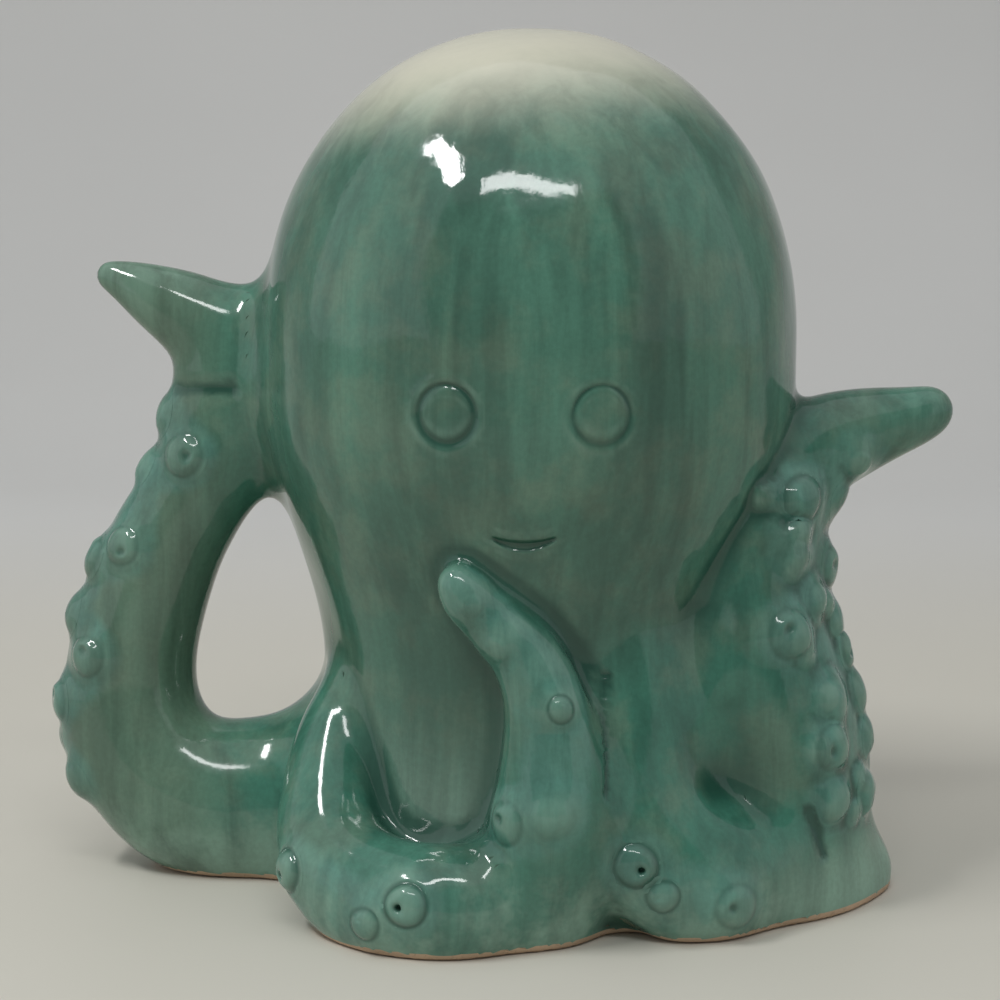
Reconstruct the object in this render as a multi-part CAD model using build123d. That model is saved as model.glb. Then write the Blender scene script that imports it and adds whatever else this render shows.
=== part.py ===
"""Glazed ceramic octopus figurine, in millimetres.

The mantle is a hollow casting.  Eight solid arms, their suckers and a floor slab are luted to it with slip.
+Z is up and the face looks along -Y.  The origin is on the mantle's axis, where the slab meets the table.
"""

from build123d import *
from dataclasses import dataclass
from math import asin, atan2, cos, degrees, radians, sin, sqrt
import os

# Mantle: the dome, the shoulder where it starts to narrow, the neck and the foot
MANTLE_HEIGHT = 178.0
MANTLE_RADIUS = 55.6
DOME_START = 114.0
DOME_FULLNESS = 2.1
SHOULDER_HEIGHT = 103.0
NECK_HEIGHT = 47.0
NECK_RADIUS = 43.8
FOOT_RADIUS = 47.0
MANTLE_WALL = 5.0

# Floor slab, with the hole that drains the casting and vents it in the kiln
SLAB_THICKNESS = 2.2
SLAB_LEDGE = 1.2
DRAIN_RADIUS = 6.0

# Incised face: two eye rings with a pin-prick pupil, and a smile
EYE_HEIGHT = 103.8
EYE_BEARING = 15.2
FACE_BEARING = 268.0
EYE_RING_RADIUS = 5.5
EYE_GROOVE = 0.75
PUPIL_RADIUS = 1.1
MOUTH_HEIGHT = 78.6
MOUTH_HALF_WIDTH = 5.4
MOUTH_DROOP = 1.9
MOUTH_GROOVE = 0.8

# Suckers, as shares of a pellet's radius: rise, bedding and the hole pricked in it
# SUCKER_PROUD is the least share of its volume that stands proud
SUCKER_RISE = 0.36
SUCKER_BED = 0.5
SUCKER_PROUD = 0.3
SUCKER_PRICK = 0.17
PRICK_DEPTH = 0.3

# Arm tips: how far the ball that rounds a tip swells past the last section
TIP_SWELL = 1.03

# Sections that the curved shapes are drawn through
LOFT_STEPS = 14
DOME_ARCS = 3


@dataclass
class Station:
    """One oval section of an arm: bearing, height, stand-off from the mantle, long and short half sizes."""

    bearing: float
    height: float
    out: float
    broad: float
    thin: float


@dataclass
class Sucker:
    """A pellet on an arm: share of its length, angle round its section, radius, and if it is pricked."""

    along: float
    round: float
    radius: float
    pricked: bool = True


def smooth(share):
    """Smooth step from 0 to 1."""
    share = min(1.0, max(0.0, share))
    return share * share * (3.0 - 2.0 * share)


def body_radius(height, inset=0.0):
    """Radius of the mantle at a height; inset gives the cavity's wall instead."""
    widest = MANTLE_RADIUS - inset
    neck = NECK_RADIUS - inset
    if height >= DOME_START:
        share = min(1.0, (height - DOME_START) / (MANTLE_HEIGHT - inset - DOME_START))
        return widest * (1.0 - share**DOME_FULLNESS) ** (1.0 / DOME_FULLNESS)
    if height >= NECK_HEIGHT:
        rise = (height - NECK_HEIGHT) / (SHOULDER_HEIGHT - NECK_HEIGHT)
        return neck + (widest - neck) * smooth(rise)
    return neck + (FOOT_RADIUS - NECK_RADIUS) * (1.0 - height / NECK_HEIGHT) ** 2


def on_body(bearing, height, out=0.0):
    """Point at a bearing and height, standing off the mantle's surface by out."""
    reach = body_radius(height) + out
    turn = radians(bearing)
    return Vector(reach * cos(turn), reach * sin(turn), height)


def profile_edges(inset=0.0):
    """Half outline of the mantle in arcs, from the slab up to the crown."""
    top = MANTLE_HEIGHT - inset
    knots = [SLAB_THICKNESS, NECK_HEIGHT, (NECK_HEIGHT + SHOULDER_HEIGHT) / 2, SHOULDER_HEIGHT]
    edges = []
    for low, high in zip(knots, knots[1:]):
        heights = (low, (low + high) / 2, high)
        edges.append(ThreePointArc(*[(body_radius(z, inset), 0, z) for z in heights]))
    edges.append(Line(edges[-1] @ 1, (body_radius(DOME_START, inset), 0, DOME_START)))
    turns = [radians(90 * k / (2 * DOME_ARCS)) for k in range(2 * DOME_ARCS - 1)]
    heights = [DOME_START + (top - DOME_START) * sin(turn) for turn in turns]
    points = [(body_radius(z, inset), 0, z) for z in heights]
    for k in range(0, len(points) - 2, 2):
        edges.append(ThreePointArc(points[k], points[k + 1], points[k + 2]))
    rim, _, rim_height = points[-1]
    cap = (rim**2 + (top - rim_height) ** 2) / (2 * (top - rim_height))
    half_turn = asin(rim / cap) / 2
    crown = (cap * sin(half_turn), 0, top - cap + cap * cos(half_turn))
    edges.append(ThreePointArc(points[-1], crown, (0, 0, top)))
    return edges


def revolved(edges):
    """Solid turned about the mantle's axis from a closed half outline."""
    return revolve(make_face(edges), Axis.Z)


def turned_body(inset=0.0):
    """The mantle's form as a solid, standing on the slab."""
    edges = profile_edges(inset)
    floor = Polyline(edges[0] @ 0, (0, 0, SLAB_THICKNESS), edges[-1] @ 1)
    return revolved([*edges, floor])


def facing(bearing, height):
    """Plane on the mantle's surface, its normal pointing out at that bearing."""
    step = 0.5
    here = on_body(bearing, height)
    slope = on_body(bearing, height + step) - on_body(bearing, height - step)
    turn = radians(bearing)
    around = Vector(-sin(turn), cos(turn), 0)
    return Plane(origin=here, x_dir=around, z_dir=around.cross(slope))


def face_cuts():
    """Grooves and pricks of the eyes and the mouth."""
    cuts = []
    for side in (-1, 1):
        spot = facing(FACE_BEARING + side * EYE_BEARING, EYE_HEIGHT)
        sag = EYE_RING_RADIUS**2 / (4 * MANTLE_RADIUS)
        cuts.append(spot.offset(-sag) * Torus(EYE_RING_RADIUS, EYE_GROOVE))
        cuts.append(spot.offset(PUPIL_RADIUS / 2) * Sphere(PUPIL_RADIUS))
    half_turn = degrees(MOUTH_HALF_WIDTH / body_radius(MOUTH_HEIGHT))
    corners = [on_body(FACE_BEARING + side * half_turn, MOUTH_HEIGHT) for side in (-1, 1)]
    middle = on_body(FACE_BEARING, MOUTH_HEIGHT - MOUTH_DROOP)
    lip = ThreePointArc(corners[0], middle, corners[1])
    cuts.append(sweep(Plane(lip @ 0, z_dir=lip % 0) * Circle(MOUTH_GROOVE), lip))
    return cuts


def frame_at(point, tangent, lie):
    """Section plane of an arm; how the arm lies decides its x axis, which the oval's long size follows."""
    turn = atan2(point.Y, point.X)
    outward = Vector(cos(turn), sin(turn), 0)
    around = Vector(-sin(turn), cos(turn), 0)
    if lie == "hugging":
        across = outward.cross(tangent)
    elif lie == "broad":
        across = tangent * around.dot(tangent) - around
    else:
        across = around.cross(tangent)
    return Plane(origin=point, x_dir=across, z_dir=tangent)


def oval(plane, broad, thin):
    """Oval section on a plane."""
    return plane * Ellipse(broad, thin)


class Arm:
    """An arm lofted through its stations, with a rounded tip."""

    def __init__(self, stations, suckers, lie):
        self.stations = stations
        self.suckers = suckers
        self.lie = lie
        points = [on_body(s.bearing, s.height, s.out) for s in stations]
        self.line = Spline(*points)
        self.shares = [self.line.param_at_point(p) for p in points]

    def sizes_at(self, share):
        """Half sizes of the section at a share of the centreline."""
        last = len(self.shares) - 2
        k = next((k for k in range(last) if share <= self.shares[k + 1]), last)
        ease = (share - self.shares[k]) / (self.shares[k + 1] - self.shares[k])
        low, high = self.stations[k], self.stations[k + 1]
        return low.broad + (high.broad - low.broad) * ease, low.thin + (high.thin - low.thin) * ease

    def plane_at(self, share):
        """Section plane at a share of the centreline."""
        return frame_at(self.line.position_at(share), self.line.tangent_at(share), self.lie)

    def solid(self):
        """The whole arm, from inside the mantle to the rounded tip."""
        sections = []
        for k in range(LOFT_STEPS + 1):
            share = k / LOFT_STEPS
            sections.append(oval(self.plane_at(share), *self.sizes_at(share)))
        ball = Pos(self.line @ 1) * Sphere(TIP_SWELL * self.stations[-1].broad)
        return loft(sections) + ball

    def seat(self, sucker):
        """Plane on the arm's surface where a sucker is bedded, its normal pointing out."""
        plane = self.plane_at(sucker.along)
        broad, thin = self.sizes_at(sucker.along)
        turn = radians(sucker.round)
        point = plane.from_local_coords((broad * cos(turn), thin * sin(turn), 0))
        out = plane.to_local_coords(point) + Vector(cos(turn) / broad, sin(turn) / thin, 0)
        ahead = plane.from_local_coords(out)
        return Plane(origin=point, z_dir=ahead - point)


def pellet(radius, pricked):
    """A sucker on its own: a domed button, pricked or plain, standing on Z = 0 and bedded below it."""
    rise = SUCKER_RISE * radius
    bed = SUCKER_BED * radius
    prick = SUCKER_PRICK * radius if pricked else 0
    floor = rise - PRICK_DEPTH * radius
    swell = ((radius - prick) ** 2 + rise**2) / (2 * rise)
    middle = (radius + prick) / 2
    crest = sqrt(swell**2 - (middle - prick) ** 2) - swell + rise
    hole = [(prick, 0, rise), (prick, 0, floor), (0, 0, floor)] if pricked else [(0, 0, rise)]
    outline = [
        Polyline(*hole, (0, 0, -bed), (radius, 0, -bed), (radius, 0, 0)),
        ThreePointArc((radius, 0, 0), (middle, 0, crest), (prick, 0, rise)),
    ]
    return revolved(outline)


# The arm that loops up like a handle; its long size is across the loop
LEFT_HANDLE = [
    Station(178, 15, -6, 21.5, 16),
    Station(179, 13.5, 14, 18.5, 15),
    Station(179, 16, 28.5, 17, 15),
    Station(178, 26.5, 39.5, 15.5, 14),
    Station(177, 41, 42.8, 14, 13),
    Station(177, 56, 39, 13.2, 12.2),
    Station(177, 66.5, 32.6, 12.5, 11.8),
    Station(177, 73.5, 27, 12, 11.5),
    Station(177, 80.5, 20.3, 11.6, 11.2),
    Station(177, 88.5, 14.6, 11.4, 11),
    Station(177, 97, 10.9, 11, 10.6),
    Station(177, 105.5, 9.4, 10.6, 10),
    Station(177, 113.3, 9.8, 10.8, 9.2),
    Station(177, 118.7, 15.6, 9.3, 8),
    Station(177, 122.2, 22.4, 7.1, 6.5),
    Station(177, 125.5, 29, 4.7, 4.6),
    Station(177, 127.5, 34.2, 3, 3),
]

# The broad arm standing against the mantle; its long size is round the mantle
RIGHT_RAISED = [
    Station(-8, -10, 9.5, 27, 18),
    Station(-10, 14, 9.5, 27, 18),
    Station(-14, 36, 9.5, 27, 17),
    Station(-16, 56, 5.5, 25, 14.5),
    Station(-15, 70, 2, 21, 12.3),
    Station(-12, 82, 0.5, 16, 10.8),
    Station(-9.5, 90.5, 2.5, 12, 11),
    Station(-8, 94.3, 8.8, 10, 9.9),
    Station(-7, 96.3, 14.5, 8.7, 8.6),
    Station(-6, 97.9, 20.5, 7.5, 7.2),
    Station(-5.5, 99.2, 25.5, 6.3, 6.1),
    Station(-5.5, 100, 27.5, 5.4, 5.4),
]

# Arms that hug the mantle or lie on the floor slab; their long size is along the mantle's surface
FRONT_RAISED = [
    Station(268, -6, -6, 13, 10.5),
    Station(271, 8, -1, 12.8, 10.5),
    Station(273, 18, 3.5, 12.2, 10.5),
    Station(275, 32, 5.5, 10, 9.2),
    Station(275, 44, 5.5, 8.3, 8),
    Station(272.5, 54, 4.5, 7, 6.8),
    Station(266, 61.5, 3.5, 5.8, 5.6),
    Station(259.5, 67, 3.5, 4.9, 4.7),
    Station(256, 71.5, 4, 3.8, 3.8),
]
FRONT_LEFT = [
    Station(205, 46, -7, 6, 6),
    Station(208, 36, 0, 8.5, 8),
    Station(214, 24, 5, 11, 9.5),
    Station(223, 13.5, 8.5, 12, 10.5),
    Station(237, 8.5, 9.5, 12.5, 10.5),
    Station(252, 8, 8.2, 12.5, 10.5),
    Station(265, 8, 2, 11, 9.5),
    Station(277, 7, -5, 8.5, 8),
]
FRONT_RIGHT = [
    Station(304, 56, -6, 9, 6.5),
    Station(304, 43, -1, 14, 7.5),
    Station(303.5, 30, 1, 16, 8.5),
    Station(303, 17.5, 5.5, 16, 9.5),
    Station(311, 10, 8.8, 14.5, 10),
    Station(325, 7.5, 10.8, 11.5, 9),
    Station(338, 5, 15, 7.5, 6.2),
    Station(346, 4, 21, 4.6, 4.4),
    Station(350, 3.6, 25.5, 3, 3),
]
BACK_RIGHT = [
    Station(76, 48, -5, 6.5, 6.5),
    Station(71, 35, 3, 9, 8.5),
    Station(63, 20, 7, 11.5, 10),
    Station(49, 9.5, 9, 12.5, 10.5),
    Station(33, 8, 10, 12, 10),
    Station(19, 6.5, 15, 9, 8),
    Station(9, 4.5, 25, 4.5, 4.5),
]
BACK = [
    Station(84, 46, -5, 6.5, 6.5),
    Station(88, 33, 3.5, 9, 8.5),
    Station(95, 18.5, 8, 11.5, 10),
    Station(107, 9, 10, 12.5, 10.5),
    Station(119, 8, 13, 11.5, 9.5),
    Station(128, 6, 20, 8.5, 7),
    Station(132, 4.5, 28, 4, 4),
]
BACK_LEFT = [
    Station(122, 48, -5, 6.5, 6.5),
    Station(127, 35, 3, 9, 8.5),
    Station(135, 20, 6, 11, 10),
    Station(147, 9.5, 8, 12, 10),
    Station(158, 8, 12, 10, 8.5),
    Station(165, 6, 20, 7.5, 6.5),
    Station(168, 4.5, 28, 3.8, 3.8),
]

# Suckers on each arm: share of its length, angle round the section, radius
SUCKERS_LEFT_HANDLE = [
    Sucker(0.29, 28, 4.2, pricked=False),
    Sucker(0.325, 352, 4.0, pricked=False),
    Sucker(0.36, 20, 4.4),
    Sucker(0.415, 60, 4.0),
    Sucker(0.45, 14, 4.3, pricked=False),
    Sucker(0.52, 18, 4.2),
    Sucker(0.552, 58, 3.8),
    Sucker(0.645, 14, 3.9, pricked=False),
    Sucker(0.692, 70, 4.2),
    Sucker(0.735, 16, 4.2, pricked=False),
]
SUCKERS_RIGHT_RAISED = [
    Sucker(0.258, 72, 4.6),
    Sucker(0.285, 42, 4.2, pricked=False),
    Sucker(0.32, 88, 3.9, pricked=False),
    Sucker(0.355, 46, 4.4),
    Sucker(0.385, 92, 3.9, pricked=False),
    Sucker(0.408, 58, 4.3, pricked=False),
    Sucker(0.45, 92, 3.9),
    Sucker(0.516, 90, 4.0, pricked=False),
    Sucker(0.521, 36, 4.8),
    Sucker(0.561, 64, 3.4, pricked=False),
    Sucker(0.61, 88, 4.4),
    Sucker(0.625, 40, 3.2, pricked=False),
    Sucker(0.709, 26, 4.4, pricked=False),
    Sucker(0.745, 78, 3.8, pricked=False),
    Sucker(0.782, 36, 2.6, pricked=False),
    Sucker(0.858, 30, 2.4, pricked=False),
]
SUCKERS_FRONT_RAISED = [
    Sucker(0.392, 38, 4.1),
    Sucker(0.421, 88, 4.1),
    Sucker(0.644, 108, 2.6, pricked=False),
    Sucker(0.837, 70, 2.7, pricked=False),
    Sucker(0.955, 104, 2.3, pricked=False),
]
SUCKERS_FRONT_LEFT = [
    Sucker(0.444, 96, 4.2),
    Sucker(0.625, 96, 3.2, pricked=False),
    Sucker(0.688, 74, 4.2),
]
SUCKERS_FRONT_RIGHT = [
    Sucker(0.408, 140, 4.2),
    Sucker(0.448, 132, 3.2, pricked=False),
    Sucker(0.533, 104, 4.4),
    Sucker(0.774, 86, 2.0),
    Sucker(0.878, 92, 2.4),
]
SUCKERS_BACK_RIGHT = [
    Sucker(0.44, 110, 4.6),
    Sucker(0.58, 85, 4.4),
    Sucker(0.72, 115, 4.0),
    Sucker(0.86, 100, 3.2),
]
SUCKERS_BACK = [
    Sucker(0.44, 70, 4.6),
    Sucker(0.58, 95, 4.4),
    Sucker(0.72, 65, 3.8),
    Sucker(0.86, 80, 3.0),
]
SUCKERS_BACK_LEFT = [
    Sucker(0.44, 70, 4.4),
    Sucker(0.58, 95, 4.2),
    Sucker(0.72, 65, 3.6),
]

# Order of luting: each arm is cut back to the ones before it
ARMS = {
    "front_raised": Arm(FRONT_RAISED, SUCKERS_FRONT_RAISED, "hugging"),
    "front_right": Arm(FRONT_RIGHT, SUCKERS_FRONT_RIGHT, "hugging"),
    "right_raised": Arm(RIGHT_RAISED, SUCKERS_RIGHT_RAISED, "broad"),
    "left_handle": Arm(LEFT_HANDLE, SUCKERS_LEFT_HANDLE, "loop"),
    "front_left": Arm(FRONT_LEFT, SUCKERS_FRONT_LEFT, "hugging"),
    "back_right": Arm(BACK_RIGHT, SUCKERS_BACK_RIGHT, "hugging"),
    "back": Arm(BACK, SUCKERS_BACK, "hugging"),
    "back_left": Arm(BACK_LEFT, SUCKERS_BACK_LEFT, "hugging"),
}


def largest(solids):
    """The biggest solid left by a cut, leaving out slivers."""
    return max(solids, key=lambda solid: solid.volume)


def luted_arms(body):
    """Each arm cut back to the mantle, the slab's top and the arms luted before it."""
    reach = 4 * MANTLE_HEIGHT
    below = Pos(0, 0, SLAB_THICKNESS - reach / 2) * Box(reach, reach, reach)
    done = {}
    for name, arm in ARMS.items():
        solid = arm.solid() - body - below
        for other in done.values():
            if solid.bounding_box().overlaps(other.bounding_box()):
                solid = solid - other
        done[name] = largest(solid.solids())
    return done


def spaced_seats(arm):
    """An arm's suckers and their seats, leaving off any that would run into one already placed."""
    kept = []
    for sucker in arm.suckers:
        seat = arm.seat(sucker)
        if all((seat.origin - at.origin).length > sucker.radius + other.radius for other, at in kept):
            kept.append((sucker, seat))
    return kept


def bedded_suckers(name, arms, body):
    """The pellets of one arm, bedded in it and clear of the rest; one buried by a neighbour is left off."""
    pellets = []
    for sucker, seat in spaced_seats(ARMS[name]):
        pellets.append((seat.location * pellet(sucker.radius, sucker.pricked)).solid())
    least = SUCKER_PROUD * min(solid.volume for solid in pellets)
    for other in [arms[name], body, *arms.values()]:
        reach = other.bounding_box()
        beside = [solid for solid in pellets if solid.bounding_box().overlaps(reach)]
        clear = [solid for solid in pellets if not solid.bounding_box().overlaps(reach)]
        cut = Compound(beside).cut(other).solids() if beside else []
        pellets = [*clear, *cut]
    return Compound([solid for solid in pellets if solid.volume > least])


def floor_slab(arms):
    """The slab under the mantle and the arms, following the outside of their footprint, with its drain."""
    slab = Pos(0, 0, SLAB_THICKNESS / 2) * Cylinder(FOOT_RADIUS + SLAB_LEDGE, SLAB_THICKNESS)
    for solid in arms.values():
        for face in solid.faces().filter_by(GeomType.PLANE):
            if abs(face.center().Z - SLAB_THICKNESS) < SLAB_THICKNESS / 100:
                slab = slab + extrude(face, SLAB_THICKNESS)
    underside = slab.faces().sort_by(Axis.Z)[0]
    filled = extrude(make_face(underside.outer_wire().edges()), SLAB_THICKNESS, dir=(0, 0, 1))
    drain = Pos(0, NECK_RADIUS / 2, SLAB_THICKNESS / 2) * Cylinder(DRAIN_RADIUS, 2 * SLAB_THICKNESS)
    return largest((filled - drain).solids())


def main():
    """Builds each piece and writes it to its own file."""
    os.makedirs("parts", exist_ok=True)
    body = turned_body()
    arms = luted_arms(body)
    mantle = body - turned_body(MANTLE_WALL)
    for cut in face_cuts():
        mantle = mantle - cut
    pieces = {"mantle": largest(mantle.solids()), "base_slab": floor_slab(arms)}
    for name, solid in arms.items():
        pieces["arm_" + name] = solid
        pieces["suckers_" + name] = bedded_suckers(name, arms, body)
    for name, shape in pieces.items():
        export_step(shape, "parts/" + name + ".step")


main()
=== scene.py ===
"""Glazed ceramic octopus figurine, dressed over its solids.

The clay is worked out as one skin, in millimetres: the mantle and the eight arms run into each other
where slip was smoothed over the joins.  That skin is then cut into the bench pieces, so each piece is a
closed form of its own.
"""

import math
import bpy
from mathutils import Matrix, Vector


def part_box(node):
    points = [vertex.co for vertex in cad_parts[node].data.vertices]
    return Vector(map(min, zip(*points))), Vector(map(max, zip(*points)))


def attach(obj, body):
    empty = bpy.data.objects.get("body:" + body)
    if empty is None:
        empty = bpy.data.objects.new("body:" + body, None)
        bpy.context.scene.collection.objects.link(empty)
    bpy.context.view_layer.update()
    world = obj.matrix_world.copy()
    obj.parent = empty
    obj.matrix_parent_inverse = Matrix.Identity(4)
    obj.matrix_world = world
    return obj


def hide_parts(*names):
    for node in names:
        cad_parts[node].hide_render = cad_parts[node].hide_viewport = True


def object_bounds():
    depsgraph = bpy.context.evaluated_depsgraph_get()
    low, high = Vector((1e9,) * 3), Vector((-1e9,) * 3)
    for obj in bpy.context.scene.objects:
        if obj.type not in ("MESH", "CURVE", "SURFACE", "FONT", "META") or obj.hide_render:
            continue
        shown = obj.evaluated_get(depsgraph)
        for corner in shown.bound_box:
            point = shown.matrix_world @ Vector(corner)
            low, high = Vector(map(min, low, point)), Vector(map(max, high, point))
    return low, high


bl_info = {
    "name": "Ceramic octopus",
    "version": (1, 0, 0),
    "blender": (4, 5, 0),
    "location": "View3D > Sidebar > Octopus",
    "description": "Forms, glazes and lights a ceramic octopus over its solids",
    "category": "Object",
}

import bmesh
import bpy
import numpy as np
from bpy.props import FloatProperty, FloatVectorProperty, IntProperty, PointerProperty
from mathutils import Quaternion, Vector

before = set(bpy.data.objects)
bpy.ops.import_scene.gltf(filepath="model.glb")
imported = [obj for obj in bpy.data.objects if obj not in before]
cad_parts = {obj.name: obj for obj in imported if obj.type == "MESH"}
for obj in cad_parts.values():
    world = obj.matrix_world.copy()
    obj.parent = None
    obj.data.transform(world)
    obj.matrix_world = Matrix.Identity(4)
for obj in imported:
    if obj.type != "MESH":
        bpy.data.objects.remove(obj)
CAD_BOX = [list(corner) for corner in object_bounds()]
MANTLE_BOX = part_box("mantle")

MM = 0.001

# Arms in the order they were luted: how the oval section lies, the slip fillets by the foot and up the mantle
# in mm, and the stations along it as bearing about the mantle in degrees, then height, stand-off from the
# mantle, long half size and short half size in mm
ARMS = {
    "front_raised": ("hugging", (5, 3.5), [
        (268, -6, -6, 13, 10.5),
        (271, 8, -1, 12.8, 10.5),
        (273, 18, 3.5, 12.2, 10.5),
        (274, 32, 5.5, 10, 9.2),
        (273.5, 44, 5.5, 8.3, 8),
        (270.2, 54, 4.5, 7, 6.8),
        (263.7, 61.5, 3.5, 5.8, 5.6),
        (257.2, 67, 3.5, 4.9, 4.7),
        (253.8, 71.5, 4, 3.8, 3.8),
    ]),
    "front_right": ("hugging", (9, 4), [
        (304, 56, -6, 9, 6.5),
        (304, 43, -1, 14, 7.5),
        (303.5, 30, 1, 16, 8.5),
        (303, 17.5, 5.5, 16, 9.5),
        (311, 10, 8.8, 14.5, 10),
        (325, 7.5, 10.8, 11.5, 9),
        (338, 5, 15, 7.5, 6.2),
        (346, 4, 21, 4.6, 4.4),
        (350, 3.6, 25.5, 3, 3),
    ]),
    "right_raised": ("broad", (11, 4), [
        (-8, -10, 9.5, 27, 18),
        (-10, 14, 9.5, 27, 18),
        (-14, 36, 9.5, 27, 17),
        (-16, 56, 5.5, 25, 14.5),
        (-15, 70, 2, 21, 12.3),
        (-12, 82, 0.5, 16, 10.8),
        (-9.5, 90.5, 2.5, 12, 11),
        (-8, 94.3, 8.8, 10, 9.9),
        (-7, 96.3, 14.5, 8.7, 8.6),
        (-6, 97.9, 20.5, 7.5, 7.2),
        (-5.5, 99.2, 25.5, 6.3, 6.1),
        (-5.5, 100, 27.5, 5.4, 5.4),
    ]),
    "left_handle": ("loop", (14, 14), [
        (178, 15, -6, 21.5, 16),
        (179, 13.5, 14, 18.5, 15),
        (179, 16, 28.5, 17, 15),
        (178, 26.5, 39.5, 15.5, 14),
        (177, 41, 42.8, 14, 13),
        (177, 56, 39, 13.2, 12.2),
        (177, 66.5, 32.6, 12.5, 11.8),
        (177, 73.5, 27, 12, 11.5),
        (177, 80.5, 20.3, 11.6, 11.2),
        (177, 88.5, 14.6, 11.4, 11),
        (177, 97, 10.9, 11, 10.6),
        (177, 105.5, 9.4, 10.6, 10),
        (177, 113.3, 9.8, 10.8, 9.2),
        (177, 118.7, 15.6, 9.3, 8),
        (177, 122.2, 22.4, 7.1, 6.5),
        (177, 125.5, 29, 4.7, 4.6),
        (177, 127.5, 34.2, 3, 3),
    ]),
    "front_left": ("hugging", (5, 5), [
        (205, 46, -7, 6, 6),
        (208, 36, 0, 8.5, 8),
        (214, 24, 5, 11, 9.5),
        (223, 13.5, 8.5, 12, 10.5),
        (237, 8.5, 9.5, 12.5, 10.5),
        (252, 8, 8.2, 12.5, 10.5),
        (265, 8, 2, 11, 9.5),
        (277, 7, -5, 8.5, 8),
    ]),
    "back_right": ("hugging", (9, 6), [
        (76, 48, -5, 6.5, 6.5),
        (71, 35, 3, 9, 8.5),
        (63, 20, 7, 11.5, 10),
        (49, 9.5, 9, 12.5, 10.5),
        (33, 8, 10, 12, 10),
        (19, 6.5, 15, 9, 8),
        (9, 4.5, 25, 4.5, 4.5),
    ]),
    "back": ("hugging", (9, 6), [
        (84, 46, -5, 6.5, 6.5),
        (88, 33, 3.5, 9, 8.5),
        (95, 18.5, 8, 11.5, 10),
        (107, 9, 10, 12.5, 10.5),
        (119, 8, 13, 11.5, 9.5),
        (128, 6, 20, 8.5, 7),
        (132, 4.5, 28, 4, 4),
    ]),
    "back_left": ("hugging", (9, 6), [
        (122, 48, -5, 6.5, 6.5),
        (127, 35, 3, 9, 8.5),
        (135, 20, 6, 11, 10),
        (147, 9.5, 8, 12, 10),
        (158, 8, 12, 10, 8.5),
        (165, 6, 20, 7.5, 6.5),
        (168, 4.5, 28, 3.8, 3.8),
    ]),
}

# Suckers on each arm: share of its length, angle round the section, radius in mm, and how it was pressed
SUCKERS = {
    "left_handle": [
        (0.29, 28, 4.2, "lump"), (0.325, 352, 4.0, "lump"), (0.36, 20, 4.4, "pit"),
        (0.415, 60, 4.0, "pit"), (0.45, 14, 4.3, "lump"), (0.52, 18, 4.2, "pit"),
        (0.552, 58, 3.8, "pit"), (0.645, 14, 3.9, "lump"), (0.692, 70, 4.2, "pit"),
        (0.735, 16, 4.2, "lump"),
    ],
    "right_raised": [
        (0.258, 72, 4.6, "pit"), (0.285, 42, 4.2, "lump"), (0.32, 88, 3.9, "lump"),
        (0.355, 46, 4.4, "pit"), (0.385, 92, 3.9, "lump"), (0.408, 58, 4.3, "lump"),
        (0.45, 92, 3.9, "pit"), (0.516, 90, 4.0, "lump"), (0.521, 36, 4.8, "pit"),
        (0.561, 64, 3.4, "lump"), (0.61, 88, 4.4, "pit"), (0.625, 40, 3.2, "lump"),
        (0.709, 26, 4.4, "dome"), (0.745, 78, 3.8, "lump"), (0.782, 36, 2.6, "lump"),
        (0.858, 30, 2.4, "lump"),
    ],
    "front_raised": [
        (0.392, 38, 4.1, "pit"), (0.421, 88, 4.1, "lump"), (0.644, 108, 2.6, "dome"),
        (0.837, 70, 2.7, "lump"), (0.955, 104, 2.3, "lump"),
    ],
    "front_left": [
        (0.444, 96, 4.2, "ring"), (0.625, 96, 3.2, "dome"), (0.688, 74, 4.2, "ring"),
    ],
    "front_right": [
        (0.408, 140, 4.2, "ring"), (0.448, 132, 3.2, "dome"), (0.533, 104, 4.4, "pit"),
        (0.774, 86, 2.0, "pit"), (0.878, 92, 2.4, "pit"),
    ],
    "back_right": [
        (0.44, 110, 4.6, "ring"), (0.58, 85, 4.4, "ring"), (0.72, 115, 4.0, "dome"),
        (0.86, 100, 3.2, "lump"),
    ],
    "back": [
        (0.44, 70, 4.6, "ring"), (0.58, 95, 4.4, "dome"), (0.72, 65, 3.8, "ring"),
        (0.86, 80, 3.0, "lump"),
    ],
    "back_left": [
        (0.44, 70, 4.4, "ring"), (0.58, 95, 4.2, "ring"), (0.72, 65, 3.6, "dome"),
    ],
}

# Hollows that the potter's fingers and tools left: half width, depth, and the line they follow, in mm
PRESSES = [
    (0.8, 0.45, [(14.2, -43.8, 52), (14.2, -50.6, 38), (14.1, -53.6, 31)]),
    (9.0, 1.3, [(38.5, -40.5, 28)]),
    (4.5, 0.5, [(40, -38, 44), (42, -38.5, 38), (45, -40.5, 24)]),
    (1.5, 0.5, [(55.5, -37.5, 23), (58.5, -36.5, 14)]),
    (2.0, 0.5, [(-74, -3, 104), (-68.5, -6, 104.3), (-62.5, -7.5, 104.6)]),
]

# How far a press reaches, in half widths
PRESS_REACH = 2.5

# How far the clay swells under the suckers of an arm, as a share of a sucker's radius
SUCKER_MOUNDS = {"right_raised": 0.4, "left_handle": 0.4}
SUCKER_MOUND = 0.14

# The ball that makes a swelling, as a share of a sucker's radius, then how softly it runs in and how far
# round it is felt, in mm
MOUND_BALL = 1.7
MOUND_FILLET = 2.4
MOUND_REACH = 5.0

# Small lumps kneaded round each sucker: how many, and their spread, sizes and rises in shares of its radius
KNEADED = {"right_raised": 3}
KNEADED_SPREAD = 0.8
KNEADED_SIZES = (0.45, 0.8)
KNEADED_RISES = (0.1, 0.32)

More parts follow.
